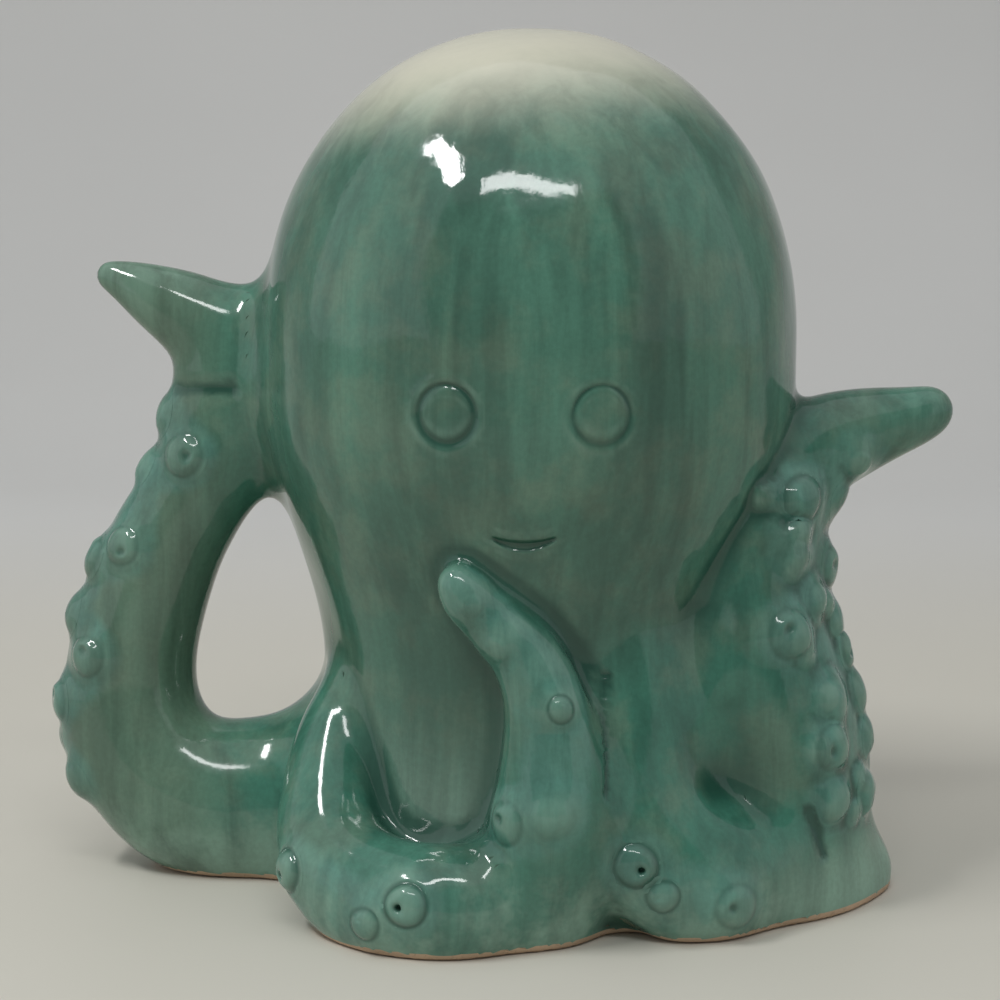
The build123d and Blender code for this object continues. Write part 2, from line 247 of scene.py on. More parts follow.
# Suckers keep this much apart, and this high above the table and the other arms, in shares of the radius
SUCKER_APART = 0.88
SUCKER_LOWEST = 0.6
SUCKER_PROUD = 0.25

# Half profiles of the suckers in shares of the radius: out from the middle, up from the arm, and how much
# glaze has pooled and shade is painted there, in the groove and the hole
SUCKER_PROFILES = {
    "lump": [
        (0.06, 0.13, 0.0), (0.14, 0.129, 0.0), (0.24, 0.126, 0.0), (0.34, 0.12, 0.0),
        (0.44, 0.11, 0.0), (0.54, 0.098, 0.0), (0.64, 0.083, 0.0), (0.73, 0.067, 0.0),
        (0.82, 0.05, 0.05), (0.9, 0.036, 0.1), (0.97, 0.025, 0.12), (1.04, 0.017, 0.12),
        (1.11, 0.012, 0.08), (1.18, 0.009, 0.03), (1.25, 0.008, 0.0), (1.31, 0.008, 0.0),
        (1.36, 0.007, 0.0),
    ],
    "dome": [
        (0.06, 0.2, 0.0), (0.14, 0.199, 0.0), (0.24, 0.195, 0.0), (0.34, 0.185, 0.0),
        (0.44, 0.17, 0.0), (0.54, 0.15, 0.0), (0.64, 0.12, 0.05), (0.73, 0.085, 0.15),
        (0.82, 0.045, 0.35), (0.9, 0.012, 0.55), (0.97, -0.008, 0.7), (1.04, -0.012, 0.6),
        (1.11, -0.006, 0.35), (1.18, 0.002, 0.12), (1.25, 0.007, 0.0), (1.31, 0.008, 0.0),
        (1.36, 0.007, 0.0),
    ],
    "pit": [
        (0.05, 0.02, 0.75), (0.1, 0.03, 0.7), (0.15, 0.06, 0.5), (0.2, 0.09, 0.3),
        (0.26, 0.115, 0.12), (0.33, 0.13, 0.03), (0.42, 0.135, 0.0), (0.55, 0.125, 0.0),
        (0.68, 0.1, 0.03), (0.8, 0.065, 0.12), (0.9, 0.032, 0.3), (0.98, 0.01, 0.4),
        (1.05, 0.002, 0.35), (1.12, 0.002, 0.2), (1.2, 0.005, 0.06), (1.28, 0.008, 0.0),
        (1.36, 0.007, 0.0),
    ],
    "ring": [
        (0.04, -0.2, 1.0), (0.08, -0.18, 1.0), (0.11, -0.06, 0.9), (0.14, 0.08, 0.6),
        (0.18, 0.16, 0.25), (0.28, 0.2, 0.05), (0.42, 0.215, 0.0), (0.55, 0.2, 0.0),
        (0.68, 0.165, 0.05), (0.8, 0.105, 0.25), (0.9, 0.035, 0.6), (0.98, -0.02, 0.85),
        (1.05, -0.03, 0.75), (1.12, -0.018, 0.4), (1.2, 0.0, 0.12), (1.28, 0.008, 0.0),
        (1.36, 0.007, 0.0),
    ],
}
SUCKER_ROWS = len(SUCKER_PROFILES["lump"])
SUCKER_SPOKES = 36

# The rows that close a sucker below, in shares of its radius
SUCKER_UNDER = [(1.3, -0.12), (0.8, -0.3), (0.3, -0.34)]

# The dish taken out of the arm under a sucker: its depth as a share of the radius and a further depth in mm,
# then its rim, the width of its edge and how far it is looked for, in shares of the radius
DISH_DEPTH = 0.3
DISH_FURTHER = 0.5
DISH_RIM = 1.1
DISH_EDGE = 0.3
DISH_REACH = 1.7

# How unevenly a sucker is pressed, in shares of its radius: oval, three-lobed, leaning and off the middle
SUCKER_OVAL = 0.07
SUCKER_LOBES = 0.03
SUCKER_LEAN = 0.15
SUCKER_DRIFT = 0.28


class OctopusSizes(bpy.types.PropertyGroup):
    """Sizes of the clay."""

    crown_height: FloatProperty(
        name="Crown height", description="Top of the mantle", default=MANTLE_BOX[1][2], unit="LENGTH")
    mantle_radius: FloatProperty(
        name="Mantle radius", description="Widest radius of the mantle", default=0.0556, unit="LENGTH")
    dome_start: FloatProperty(
        name="Dome start", description="Height where the dome starts to close", default=0.114, unit="LENGTH")
    dome_fullness: FloatProperty(
        name="Dome fullness", description="2 is an ellipse, more is squarer", default=2.1, min=1.5, max=4.0)
    shoulder_height: FloatProperty(
        name="Shoulder height", description="Height where the mantle is widest", default=0.103, unit="LENGTH")
    neck_height: FloatProperty(
        name="Neck height", description="Height of the narrowest place", default=0.047, unit="LENGTH")
    neck_radius: FloatProperty(
        name="Neck radius", description="Radius at the neck", default=0.0438, unit="LENGTH")
    foot_radius: FloatProperty(
        name="Foot radius", description="Radius of the mantle at the slab", default=0.047, unit="LENGTH")
    foot_line: FloatProperty(
        name="Foot line", description="Height of the bare clay along the foot", default=0.0016, unit="LENGTH")
    drain_radius: FloatProperty(
        name="Drain radius", description="Radius of the hole under the foot", default=0.006, unit="LENGTH")
    hand_wobble: FloatProperty(
        name="Hand wobble", description="Unevenness left by the fingers", default=0.00013, unit="LENGTH")
    clay_spacing: FloatProperty(
        name="Clay spacing", description="Spacing of the skin's points", default=0.0011, unit="LENGTH")
    eye_height: FloatProperty(
        name="Eye height", description="Height of the eye rings", default=0.1037, unit="LENGTH")
    eye_ring: FloatProperty(
        name="Eye ring", description="Radius of an eye ring", default=0.0055, unit="LENGTH")
    eye_bearing: FloatProperty(
        name="Eye bearing", description="Turn from the middle of the face to an eye",
        default=math.radians(15.2), subtype="ANGLE")
    face_bearing: FloatProperty(
        name="Face bearing", description="Turn of the face about the mantle",
        default=math.radians(268), subtype="ANGLE")
    mouth_height: FloatProperty(
        name="Mouth height", description="Height of the mouth's corners", default=0.0799, unit="LENGTH")
    mouth_width: FloatProperty(
        name="Mouth width", description="Half width of the smile", default=0.006, unit="LENGTH")
    seed: IntProperty(name="Seed", description="Another seed gives other hand marks", default=7)


class OctopusGlaze(bpy.types.PropertyGroup):
    """Colours of the glaze and the clay."""

    body: FloatVectorProperty(
        name="Body", description="Glaze on the mantle", default=(0.056, 0.15, 0.107), subtype="COLOR")
    arm: FloatVectorProperty(
        name="Arm", description="Glaze on the arms", default=(0.04, 0.15, 0.105), subtype="COLOR")
    # Thick pooled glaze, also used as painted shade in the creases
    pooled_and_shade: FloatVectorProperty(
        name="Pooled", description="Thick glaze in creases", default=(0.012, 0.062, 0.042), subtype="COLOR")
    # Greyer clouds in the glaze, also painted as light on the looped arm
    grey_and_painted_light: FloatVectorProperty(
        name="Grey", description="Greyer clouds in the glaze", default=(0.115, 0.18, 0.125), subtype="COLOR")
    belly: FloatVectorProperty(
        name="Belly", description="Bluer glaze by the suckers", default=(0.085, 0.22, 0.176), subtype="COLOR")
    thin: FloatVectorProperty(
        name="Thin", description="Thin glaze on raised edges", default=(0.18, 0.31, 0.24), subtype="COLOR")
    cream: FloatVectorProperty(
        name="Cream", description="Pale glaze on the crown", default=(0.58, 0.57, 0.46), subtype="COLOR")
    clay: FloatVectorProperty(
        name="Clay", description="Bare fired clay", default=(0.42, 0.3, 0.2), subtype="COLOR")
    gloss: FloatProperty(
        name="Gloss", description="Roughness of the fired glaze", default=0.07, min=0.0, max=1.0,
        subtype="FACTOR")


class OctopusStage(bpy.types.PropertyGroup):
    """Floor, light and camera."""

    floor: FloatVectorProperty(
        name="Floor", description="Pale table top", default=(0.6, 0.58, 0.51), subtype="COLOR")
    wall: FloatVectorProperty(
        name="Wall", description="Pale backdrop", default=(0.68, 0.68, 0.66), subtype="COLOR")
    ambient: FloatProperty(name="Ambient", description="Light from the pale room", default=0.75, min=0.0)
    shaded: FloatProperty(name="Shaded", description="Light from the dark side of it", default=0.22, min=0.0)
    left_lamp: FloatProperty(
        name="Left lamp", description="Lamp at the upper left", default=4.0, unit="POWER")
    front_lamp: FloatProperty(
        name="Front lamp", description="Lamp above the camera", default=2.4, unit="POWER")
    lens: FloatProperty(name="Lens", description="Focal length", default=77.1, unit="CAMERA")
    camera_place: FloatVectorProperty(
        name="Camera place", description="Where the camera stands", default=(-0.0063, -0.45, 0.1434),
        subtype="TRANSLATION")
    camera_tilt: FloatProperty(
        name="Camera tilt", description="How far the camera looks down", default=math.radians(8),
        subtype="ANGLE")


# Half width and soft edge of the bluer band that runs along the suckers, in mm
BAND_WIDTH = 8.5
BAND_EDGE = 2.8

# Bends of the skin, in 1/mm, where glaze starts to pool and shade is painted, or to thin, and over how much
# more it does so fully
POOL_AND_SHADE_BEND = 0.015
THIN_BEND = 0.05
BEND_SPAN = 0.2

# How deep a groove of the face is when it is full of pooled glaze and painted shade, in mm
FULL_GROOVE = 0.42

# Lamps: azimuth from above the camera, elevation and roll in degrees, and size in metres
LAMPS = {
    "left_lamp": (-61.0, 53.0, -20.8, (0.36, 0.1)),
    "front_lamp": (-1.0, 50.0, 0.0, (0.62, 0.09)),
}
LAMP_AIM = Vector((0.0, -0.045, 0.15))

# Numbers painted on the clay for the glaze to read
MARKS = ("pool", "thin", "arm", "belly")


def smooth(share):
    """Smooth step from 0 to 1."""
    share = np.clip(share, 0.0, 1.0)
    return share * share * (3.0 - 2.0 * share)


def smooth_min(first, second, fillet):
    """The nearer of two distances, with a fillet where they meet."""
    near = np.clip(0.5 + 0.5 * (second - first) / fillet, 0.0, 1.0)
    return second + (first - second) * near - fillet * near * (1.0 - near)


def dot(first, second):
    """Row by row dot product."""
    return np.einsum("ij,ij->i", first, second)


def unit(rows):
    """Rows scaled to length 1."""
    return rows / np.maximum(np.linalg.norm(rows, axis=1, keepdims=True), 1e-9)


class Mantle:
    """The mantle as a turned form, in mm."""

    def __init__(self, sizes):
        self.height = sizes.crown_height / MM
        self.widest = sizes.mantle_radius / MM
        self.dome_start = sizes.dome_start / MM
        self.fullness = sizes.dome_fullness
        self.shoulder = sizes.shoulder_height / MM
        self.neck = sizes.neck_height / MM
        self.neck_radius = sizes.neck_radius / MM
        self.foot_radius = sizes.foot_radius / MM

    def radius(self, z):
        """Radius at a height."""
        rise = np.clip((z - self.dome_start) / (self.height - self.dome_start), 0.0, 1.0)
        domed = self.widest * (1.0 - rise**self.fullness) ** (1.0 / self.fullness)
        swell = smooth((z - self.neck) / (self.shoulder - self.neck))
        waist = self.neck_radius + (self.widest - self.neck_radius) * swell
        flare = (1.0 - np.minimum(z, self.neck) / self.neck) ** 2
        foot = self.neck_radius + (self.foot_radius - self.neck_radius) * flare
        return np.where(z >= self.dome_start, domed, np.where(z >= self.neck, waist, foot))

    def distance(self, spots):
        """Signed distance from the mantle's surface, negative inside."""
        across = np.hypot(spots[:, 0], spots[:, 1])
        z = spots[:, 2]
        low = np.minimum(z, self.dome_start - 0.5)
        slope = self.radius(low + 0.5) - self.radius(low - 0.5)
        side = (across - self.radius(np.minimum(z, self.dome_start))) / np.sqrt(1.0 + slope**2)
        rise = self.height - self.dome_start
        out = across / self.widest + 1e-6
        up = np.maximum(z - self.dome_start, 0.0) / rise
        full = (out**self.fullness + up**self.fullness) ** (1.0 / self.fullness)
        power = self.fullness - 1.0
        steep = np.hypot(out**power / self.widest, up**power / rise) * full ** -power
        return np.where(z >= self.dome_start, (full - 1.0) / np.maximum(steep, 1e-6), side)

    def spot(self, bearing, z):
        """A point on the surface at a bearing in radians, and the direction out of it."""
        turn = np.array([math.cos(bearing), math.sin(bearing), 0.0])
        slope = float(self.radius(np.array(z + 0.5)) - self.radius(np.array(z - 0.5)))
        out = turn - np.array([0.0, 0.0, slope])
        place = turn * float(self.radius(np.array(z))) + np.array([0.0, 0.0, z])
        return place, out / np.linalg.norm(out)


def cubic_through(marks, knots):
    """Cubic pieces of a smooth line through knots; each row holds the four coefficients of one piece."""
    count = len(marks)
    step = np.diff(marks)
    matrix = np.zeros((count, count))
    rest = np.zeros(knots.shape)
    matrix[0, :2] = 1.0, -1.0
    matrix[-1, -2:] = -1.0, 1.0
    for k in range(1, count - 1):
        matrix[k, k - 1 : k + 2] = step[k - 1], 2.0 * (step[k - 1] + step[k]), step[k]
        rest[k] = 6.0 * ((knots[k + 1] - knots[k]) / step[k] - (knots[k] - knots[k - 1]) / step[k - 1])
    bend = np.linalg.solve(matrix, rest)
    width = step[:, None]
    rate = np.diff(knots, axis=0) / width - width * (2.0 * bend[:-1] + bend[1:]) / 6.0
    return np.stack([knots[:-1], rate, bend[:-1] / 2.0, np.diff(bend, axis=0) / (6.0 * width)], 1)


class Limb:
    """One arm: a smooth line with an oval section that tapers to a rounded tip, in mm."""

    # Points along the line, then the spacing and the softness of its beads in mm
    SAMPLES = 161
    STEP = 2.5
    SOFTNESS = 0.8

    # Weights that round off the sizes at the stations
    EASING = np.exp(-np.linspace(-2.0, 2.0, 15) ** 2)

    # Height where the fillet starts to change and over how much it does, the room kept round the arm, and the
    # distance given to spots outside that room, in mm
    FILLET_START = 45.0
    FILLET_SPAN = 40.0
    SPARE_ROOM = 3.0
    FAR = 40.0

    def __init__(self, mantle, lie, fillet, stations):
        rows = np.array(stations, float)
        self.lie = lie
        self.fillet = fillet
        reach = mantle.radius(rows[:, 1]) + rows[:, 2]
        turn = np.radians(rows[:, 0])
        knots = np.stack([reach * np.cos(turn), reach * np.sin(turn), rows[:, 1]], 1)
        run = np.linalg.norm(np.diff(knots, axis=0), axis=1)
        self.marks = np.concatenate([[0.0], np.cumsum(run)]) / run.sum()
        self.pieces = cubic_through(self.marks, knots)
        self.shares = np.linspace(0.0, 1.0, self.SAMPLES)
        self.samples = self.line(self.shares)[0]
        steps = np.linalg.norm(np.diff(self.samples, axis=0), axis=1)
        self.arc = np.concatenate([[0.0], np.cumsum(steps)]) / steps.sum()
        at = np.interp(self.marks, self.shares, self.arc)
        self.broad = self.eased(np.interp(self.arc, at, rows[:, 3]))
        self.thin = self.eased(np.interp(self.arc, at, rows[:, 4]))
        beads = int(steps.sum() / self.STEP) + 2
        share = np.interp(np.linspace(0.0, 1.0, beads), self.arc, self.shares)
        centre, along, across, away, broad, thin = self.section(share)
        girth = np.sqrt(broad * thin)
        self.sizes = np.stack([broad, thin, girth], 1)
        self.axes = np.stack([across, away, along], 1) / self.sizes[:, :, None]
        self.starts = np.einsum("kij,kj->ki", self.axes, centre)
        self.spare = self.SOFTNESS / 2.0 * np.log(2.0 * np.pi * girth * self.SOFTNESS / self.STEP**2)
        margin = rows[:, 3].max() + max(fillet) + self.SPARE_ROOM
        self.low = self.samples.min(0) - margin
        self.high = self.samples.max(0) + margin

    @classmethod
    def eased(cls, values):
        """Sizes with the corners at the stations rounded off; the ends stay."""
        half = len(cls.EASING) // 2
        before = 2 * values[0] - values[half:0:-1]
        after = 2 * values[-1] - values[-2 : -half - 2 : -1]
        padded = np.concatenate([before, values, after])
        return np.convolve(padded, cls.EASING / cls.EASING.sum(), "valid")

    def line(self, share):
        """Point on the line at a share, and its rate of change."""
        k = np.clip(np.searchsorted(self.marks, share, side="right") - 1, 0, len(self.pieces) - 1)
        s = (share - self.marks[k])[:, None]
        piece = self.pieces[k]
        place = ((piece[:, 3] * s + piece[:, 2]) * s + piece[:, 1]) * s + piece[:, 0]
        rate = (3.0 * piece[:, 3] * s + 2.0 * piece[:, 2]) * s + piece[:, 1]
        return place, rate

    def section(self, share):
        """Centre, along, long axis, short axis and half sizes of the section at a share."""
        centre, rate = self.line(share)
        along = unit(rate)
        flat = centre * np.array([1.0, 1.0, 0.0])
        outward = unit(flat)
        around = np.stack([-outward[:, 1], outward[:, 0], np.zeros(len(share))], 1)
        if self.lie == "hugging":
            across = np.cross(outward, along)
        elif self.lie == "broad":
            across = along * dot(around, along)[:, None] - around
        else:
            across = np.cross(around, along)
        across = unit(across)
        broad = np.interp(share, self.shares, self.broad)
        thin = np.interp(share, self.shares, self.thin)
        return centre, along, across, np.cross(along, across), broad, thin

    def distance(self, spots):
        """Signed distance from the arm's surface, negative inside, and the fillet at each spot.

        The arm is a string of close oval beads whose distances run softly into each other.  Spots well away
        from the arm all get the same large distance.
        """
        far = np.full(len(spots), self.FAR)
        rise = smooth((spots[:, 2] - self.FILLET_START) / self.FILLET_SPAN)
        fillet = self.fillet[0] + (self.fillet[1] - self.fillet[0]) * rise
        near = np.all((spots > self.low) & (spots < self.high), axis=1)
        if near.any():
            local = spots[near] @ self.axes.reshape(-1, 3).T - self.starts.reshape(-1)
            local = local.reshape(-1, *self.sizes.shape)
            ratio = np.sqrt(np.einsum("nki,nki->nk", local, local))
            local /= self.sizes
            steep = np.sqrt(np.einsum("nki,nki->nk", local, local))
            bead = ratio * (ratio - 1.0) / np.maximum(steep, 1e-4) + self.spare
            least = bead.min(1)
            total = np.exp((least[:, None] - bead) / self.SOFTNESS).sum(1)
            far[near] = least - self.SOFTNESS * np.log(total)
        return far, fillet

    def seat(self, along, turn):
        """Point on the surface at a share of the length and an angle in degrees, and the direction out."""
        share = np.interp([along], self.arc, self.shares)
        centre, _, across, away, broad, thin = [row[0] for row in self.section(share)]
        c, s = math.cos(math.radians(turn)), math.sin(math.radians(turn))
        out = across * c / broad + away * s / thin
        return centre + across * broad * c + away * thin * s, out / np.linalg.norm(out)


class Clay:
    """The whole figurine as one skin, in mm, and the piece that each spot of it belongs to."""

    # Spots worked at a time
    RUN = 40000

    # Waves of the hand wobble: how many, and their least and greatest lengths in mm
    WAVES = 7
    WAVE_LENGTHS = (16.0, 48.0)

    # Rounding of the foot's edge, depth of the drain, and width of the blend from mantle to arm, in mm
    FOOT_ROUNDING = 0.9
    DRAIN_DEPTH = 26.0
    JOIN_BLEND = 14.0

    def __init__(self, sizes):
        self.mantle = Mantle(sizes)
        self.limbs = {name: Limb(self.mantle, *rows) for name, rows in ARMS.items()}
        self.names = ["mantle", *self.limbs, "slab"]
        self.wobble = sizes.hand_wobble / MM
        self.foot_line = sizes.foot_line / MM
        self.drain = sizes.drain_radius / MM
        self.drain_place = np.array([0.0, self.mantle.neck_radius / 2.0])
        chance = np.random.default_rng(sizes.seed)
        waves = unit(chance.normal(size=(self.WAVES, 3)))
        self.waves = waves * (2.0 * np.pi / chance.uniform(*self.WAVE_LENGTHS, (self.WAVES, 1)))
        self.starts = chance.uniform(0.0, 2.0 * np.pi, self.WAVES)
        self.mounds = []
        self.face = None
        self.dished = False
        self.presses = [(width, depth, self.band(np.array(line, float))) for width, depth, line in PRESSES]
        self.suckers = self.seated()
        for name, seat, out, radius, _ in self.suckers:
            ball = MOUND_BALL * radius
            self.mounds.append((seat - out * (ball - SUCKER_MOUNDS.get(name, SUCKER_MOUND) * radius), ball))
            for _ in range(KNEADED.get(name, 0)):
                aside = chance.normal(size=3) * KNEADED_SPREAD * radius
                small = chance.uniform(*KNEADED_SIZES) * radius
                place = seat + aside - out * (aside @ out)
                self.mounds.append((place - out * (small - chance.uniform(*KNEADED_RISES) * radius), small))
        self.bands = [self.band([row[1] for row in self.suckers if row[0] == name]) for name in self.limbs]

    def seated(self):
        """Suckers that stand clear of each other and of the other arms.

        Each row is the arm, the place, the direction out, the radius, and how it was pressed.
        """
        kept = []
        for name, rows in SUCKERS.items():
            for along, turn, radius, kind in rows:
                seat, out = self.limbs[name].seat(along, turn)
                buried = self.skin(seat[None] + out * SUCKER_PROUD * radius)[0] < 0.0
                gaps = [np.linalg.norm(seat - row[1]) / (radius + row[3]) for row in kept]
                crowded = min(gaps, default=SUCKER_APART) < SUCKER_APART
                if not buried and not crowded and seat[2] > SUCKER_LOWEST * radius:
                    kept.append((name, seat, out, radius, kind))
        return kept

    @staticmethod
    def band(seats):
        """Close spots along the line that runs from sucker to sucker."""
        steps = np.linspace(0.0, 1.0, 9)[:, None]
        return np.concatenate([seats[:1], *[a + (b - a) * steps for a, b in zip(seats, seats[1:])]])

    def joined(self, spots):
        """Distance from the mantle and arms run together."""
        gap = self.mantle.distance(spots)
        for limb in self.limbs.values():
            gap = smooth_min(gap, *limb.distance(spots))
        return gap

    def run(self, spots):
        """Distance from the skin for one run of spots."""
        gap = self.joined(spots)
        for centre, radius in self.mounds:
            near = np.abs(spots - centre).max(1) < radius + MOUND_REACH
            if near.any():
                ball = np.linalg.norm(spots[near] - centre, axis=1) - radius
                gap[near] = smooth_min(gap[near], ball, MOUND_FILLET)
        for width, depth, line in self.presses:
            reach = PRESS_REACH * width
            near = np.all((spots > line.min(0) - reach) & (spots < line.max(0) + reach), axis=1)
            if near.any():
                away = np.min([((spots[near] - spot) ** 2).sum(1) for spot in line], axis=0)
                gap[near] += depth * np.exp(-away / width**2)
        gap = gap + self.wobble / 2.0 * np.sin(spots @ self.waves.T + self.starts).sum(1)
        if self.face is not None:
            gap = gap + self.face.depth(spots)
        if self.dished:
            gap = gap + self.dish(spots)
        gap = -smooth_min(-gap, spots[:, 2], self.FOOT_ROUNDING)
        well = np.linalg.norm(spots[:, :2] - self.drain_place, axis=1) - self.drain
        return np.maximum(gap, -np.maximum(well, spots[:, 2] - self.DRAIN_DEPTH))

    def dish(self, spots):
        """Depth of the clay taken out under the suckers."""
        deep = np.zeros(len(spots))
        for _, seat, out, radius, _ in self.suckers:
            near = np.abs(spots - seat).max(1) < DISH_REACH * radius
            if near.any():
                away = spots[near] - seat
                share = np.linalg.norm(away - (away @ out)[:, None] * out, axis=1) / radius
                full = DISH_DEPTH * radius + DISH_FURTHER
                deep[near] = np.maximum(deep[near], full * smooth((DISH_RIM - share) / DISH_EDGE))
        return deep

    def skin(self, spots):
        """Distance from the skin, negative in the clay."""
        return np.concatenate([self.run(spots[k : k + self.RUN]) for k in range(0, len(spots), self.RUN)])

    def owner(self, spots):
        """Number of the piece that each spot belongs to."""
        found = []
        for k in range(0, len(spots), self.RUN):
            part = spots[k : k + self.RUN]
            gaps = [self.mantle.distance(part)] + [limb.distance(part)[0] for limb in self.limbs.values()]
            number = np.argmin(np.stack(gaps), axis=0)
            found.append(np.where(part[:, 2] < self.foot_line, len(self.names) - 1, number))
        return np.concatenate(found)

    def slope(self, spots, reach=0.3):
        """Direction in which the distance grows."""
        rows = []
        for axis in np.eye(3) * reach:
            rows.append((self.skin(spots + axis) - self.skin(spots - axis)) / (2.0 * reach))
        return np.stack(rows, 1)

    def settle(self, spots, rounds=2):
        """Spots moved onto the skin."""
        for _ in range(rounds):
            rise = self.slope(spots)
            steep = np.maximum(dot(rise, rise), 0.2)
            spots = spots - rise * np.clip(self.skin(spots) / steep, -2.0, 2.0)[:, None]
        return spots

    def rounding(self, spots, reach=2.2):
        """How sharply the skin bulges, in 1/mm; negative in a crease."""
        total = -6.0 * self.skin(spots)
        for axis in np.eye(3) * reach:
            total += self.skin(spots + axis) + self.skin(spots - axis)
        return total / reach**2

    def arm_share(self, spots):
        """0 on the mantle, 1 on the arms, with a soft change over the joins."""
        share = []
        for k in range(0, len(spots), self.RUN):
            part = spots[k : k + self.RUN]
            nearest = np.min(np.stack([limb.distance(part)[0] for limb in self.limbs.values()]), axis=0)
            share.append(smooth(0.5 + (self.mantle.distance(part) - nearest) / self.JOIN_BLEND))
        return np.concatenate(share)


class Face:
    """Grooves of the eye rings and the smile, pressed into the mantle, in mm."""

    # How firmly each eye was pressed, and the sizes of the rings, of the lip round them and of the smile
    EYE_PRESSES = (1.0, 0.6)
    RING_DEPTH = 0.45
    RING_WIDTH = 0.72
    RING_NARROWING = 0.2
    LIP_HEIGHT = 0.04
    LIP_OUT = 1.6
    LIP_WIDTH = 0.8
    MOUTH_DEPTH = 0.6
    MOUTH_SAG = 1.5
    CORNER_WIDTH = 0.4
    MIDDLE_WIDTH = 0.6

    def __init__(self, mantle, sizes):
        self.ring = sizes.eye_ring / MM
        self.middle = sizes.face_bearing
        self.mouth_half = sizes.mouth_width / MM
        bearings = [self.middle + side * sizes.eye_bearing for side in (-1, 1)]
        self.eyes = [mantle.spot(bearing, sizes.eye_height / MM) for bearing in bearings]
        self.mouth = mantle.spot(self.middle, sizes.mouth_height / MM - 1.0)

    def near(self, spots):
        """Spots that are close enough to the face to be worked finely."""
        close = np.linalg.norm(spots - self.mouth[0], axis=1) < self.mouth_half + 3.0
        for place, _ in self.eyes:
            close |= np.linalg.norm(spots - place, axis=1) < self.ring + 2.6
        return close

    def depth(self, spots):
        """Depth of the grooves at each spot, in mm."""
        deep = np.zeros(len(spots))
        for (place, out), press in zip(self.eyes, self.EYE_PRESSES):
            gap = spots - place
            close = np.abs(gap).max(1) < self.ring + 4.0
            gap = gap[close]
            level = gap @ out
            ring = np.linalg.norm(gap - level[:, None] * out, axis=1)
            width = self.RING_WIDTH - self.RING_NARROWING * gap[:, 2] / self.ring
            groove = self.RING_DEPTH * np.exp(-(((ring - self.ring) / width) ** 2))
            lip = self.LIP_HEIGHT * np.exp(-(((ring - self.ring - self.LIP_OUT) / self.LIP_WIDTH) ** 2))
            deep[close] += press * (groove - lip)
        gap = spots - self.mouth[0]
        close = np.abs(gap).max(1) < self.mouth_half + 4.0
        gap = gap[close]
        along = gap @ np.array([-math.sin(self.middle), math.cos(self.middle), 0.0])
        share = along / self.mouth_half
        bow = np.clip(1.0 - share**2, 0.0, 1.0)
        width = self.CORNER_WIDTH + self.MIDDLE_WIDTH * bow
        line = np.exp(-(((gap[:, 2] + self.MOUTH_SAG * bow - 1.0) / width) ** 4))
        deep[close] += self.MOUTH_DEPTH * line * smooth((1.1 - np.abs(share)) / 0.25)
        return deep


# The clay is looked for in blocks of this many points a side, and a block counts as near the clay where the
# distance at its middle is under this many of its widths
BLOCK = 4
BLOCK_REACH = 1.215


def cut_apart(clay, spacing):
    """The clay's skin as points and four-sided faces, cut into pieces.

    Returns the points, which of them lie on the skin, and the faces of each piece.
    """
    low = np.array([CAD_BOX[0][0], CAD_BOX[0][1], 0.0]) / MM - 3.0 * spacing
    high = np.array(CAD_BOX[1]) / MM + 3.0 * spacing
    blocks = np.ceil((high - low) / (spacing * BLOCK)).astype(int)
    middles = np.stack(np.meshgrid(*[np.arange(n) for n in blocks], indexing="ij"), -1).reshape(-1, 3)
    middles = low + (middles * BLOCK + (BLOCK - 1) / 2.0) * spacing
    close = clay.skin(middles) < BLOCK_REACH * BLOCK * spacing
    close = close.reshape(blocks)
    for axis in range(3):
        close = np.repeat(close, BLOCK, axis)
    spots = low + np.argwhere(close) * spacing
    gap = np.full(close.shape, 9.0)
    piece = np.zeros(close.shape, np.int8)
    gap[close] = clay.skin(spots)
    inside = np.zeros(len(spots), np.int8)
    deep = gap[close] < 0.0
    inside[deep] = clay.owner(spots[deep]) + 1
    piece[close] = inside

    counts = np.array(piece.shape) - 1
    corners = [np.array(c) for c in np.ndindex(2, 2, 2)]
    views = [piece[tuple(slice(a, a + n) for a, n in zip(c, counts))] for c in corners]
    mixed = np.zeros(tuple(counts), bool)
    for view in views[1:]:
        mixed |= view != views[0]
    cells = np.argwhere(mixed)
    number = np.full(mixed.shape, -1, np.int32)
    number[mixed] = np.arange(len(cells))
    skin_sum = np.zeros((len(cells), 3))
    wall_sum = np.zeros((len(cells), 3))
    skin_count = np.zeros(len(cells))
    wall_count = np.zeros(len(cells))
    for axis in range(3):
        ahead = np.eye(3, dtype=int)[axis]
        for corner in corners:
            if corner[axis]:
                continue
            start = tuple((cells + corner).T)
            end = tuple((cells + corner + ahead).T)
            first, second = piece[start], piece[end]
            outer = (first == 0) != (second == 0)
            share = np.where(outer, gap[start] / np.where(outer, gap[start] - gap[end], 1.0), 0.5)
            place = corner + share[:, None] * ahead
            join = (first != second) & ~outer
            skin_sum[outer] += place[outer]
            skin_count += outer
            wall_sum[join] += place[join]
            wall_count += join
    on_skin = skin_count > 0
    mean = np.where(on_skin[:, None], skin_sum, wall_sum) / np.where(on_skin, skin_count, wall_count)[:, None]
    points = low + (cells + mean) * spacing
    points[on_skin] = clay.settle(points[on_skin])

    faces = {name: [] for name in clay.names}
    for axis in range(3):
        order = [axis, (axis + 1) % 3, (axis + 2) % 3]
        turned = piece.transpose(order)
        names = number.transpose(order)
        first, second = turned[:-1, 1:-1, 1:-1], turned[1:, 1:-1, 1:-1]
        i, j, k = np.nonzero(first != second)
        first, second = first[i, j, k], second[i, j, k]
        corner_cells = ((j, k), (j + 1, k), (j + 1, k + 1), (j, k + 1))
        quads = np.stack([names[i, b, c] for b, c in corner_cells], 1)
        for label, name in enumerate(clay.names, 1):
            faces[name] += [quads[first == label], quads[second == label][:, ::-1]]
    return points, on_skin, {name: np.concatenate(rows) for name, rows in faces.items()}


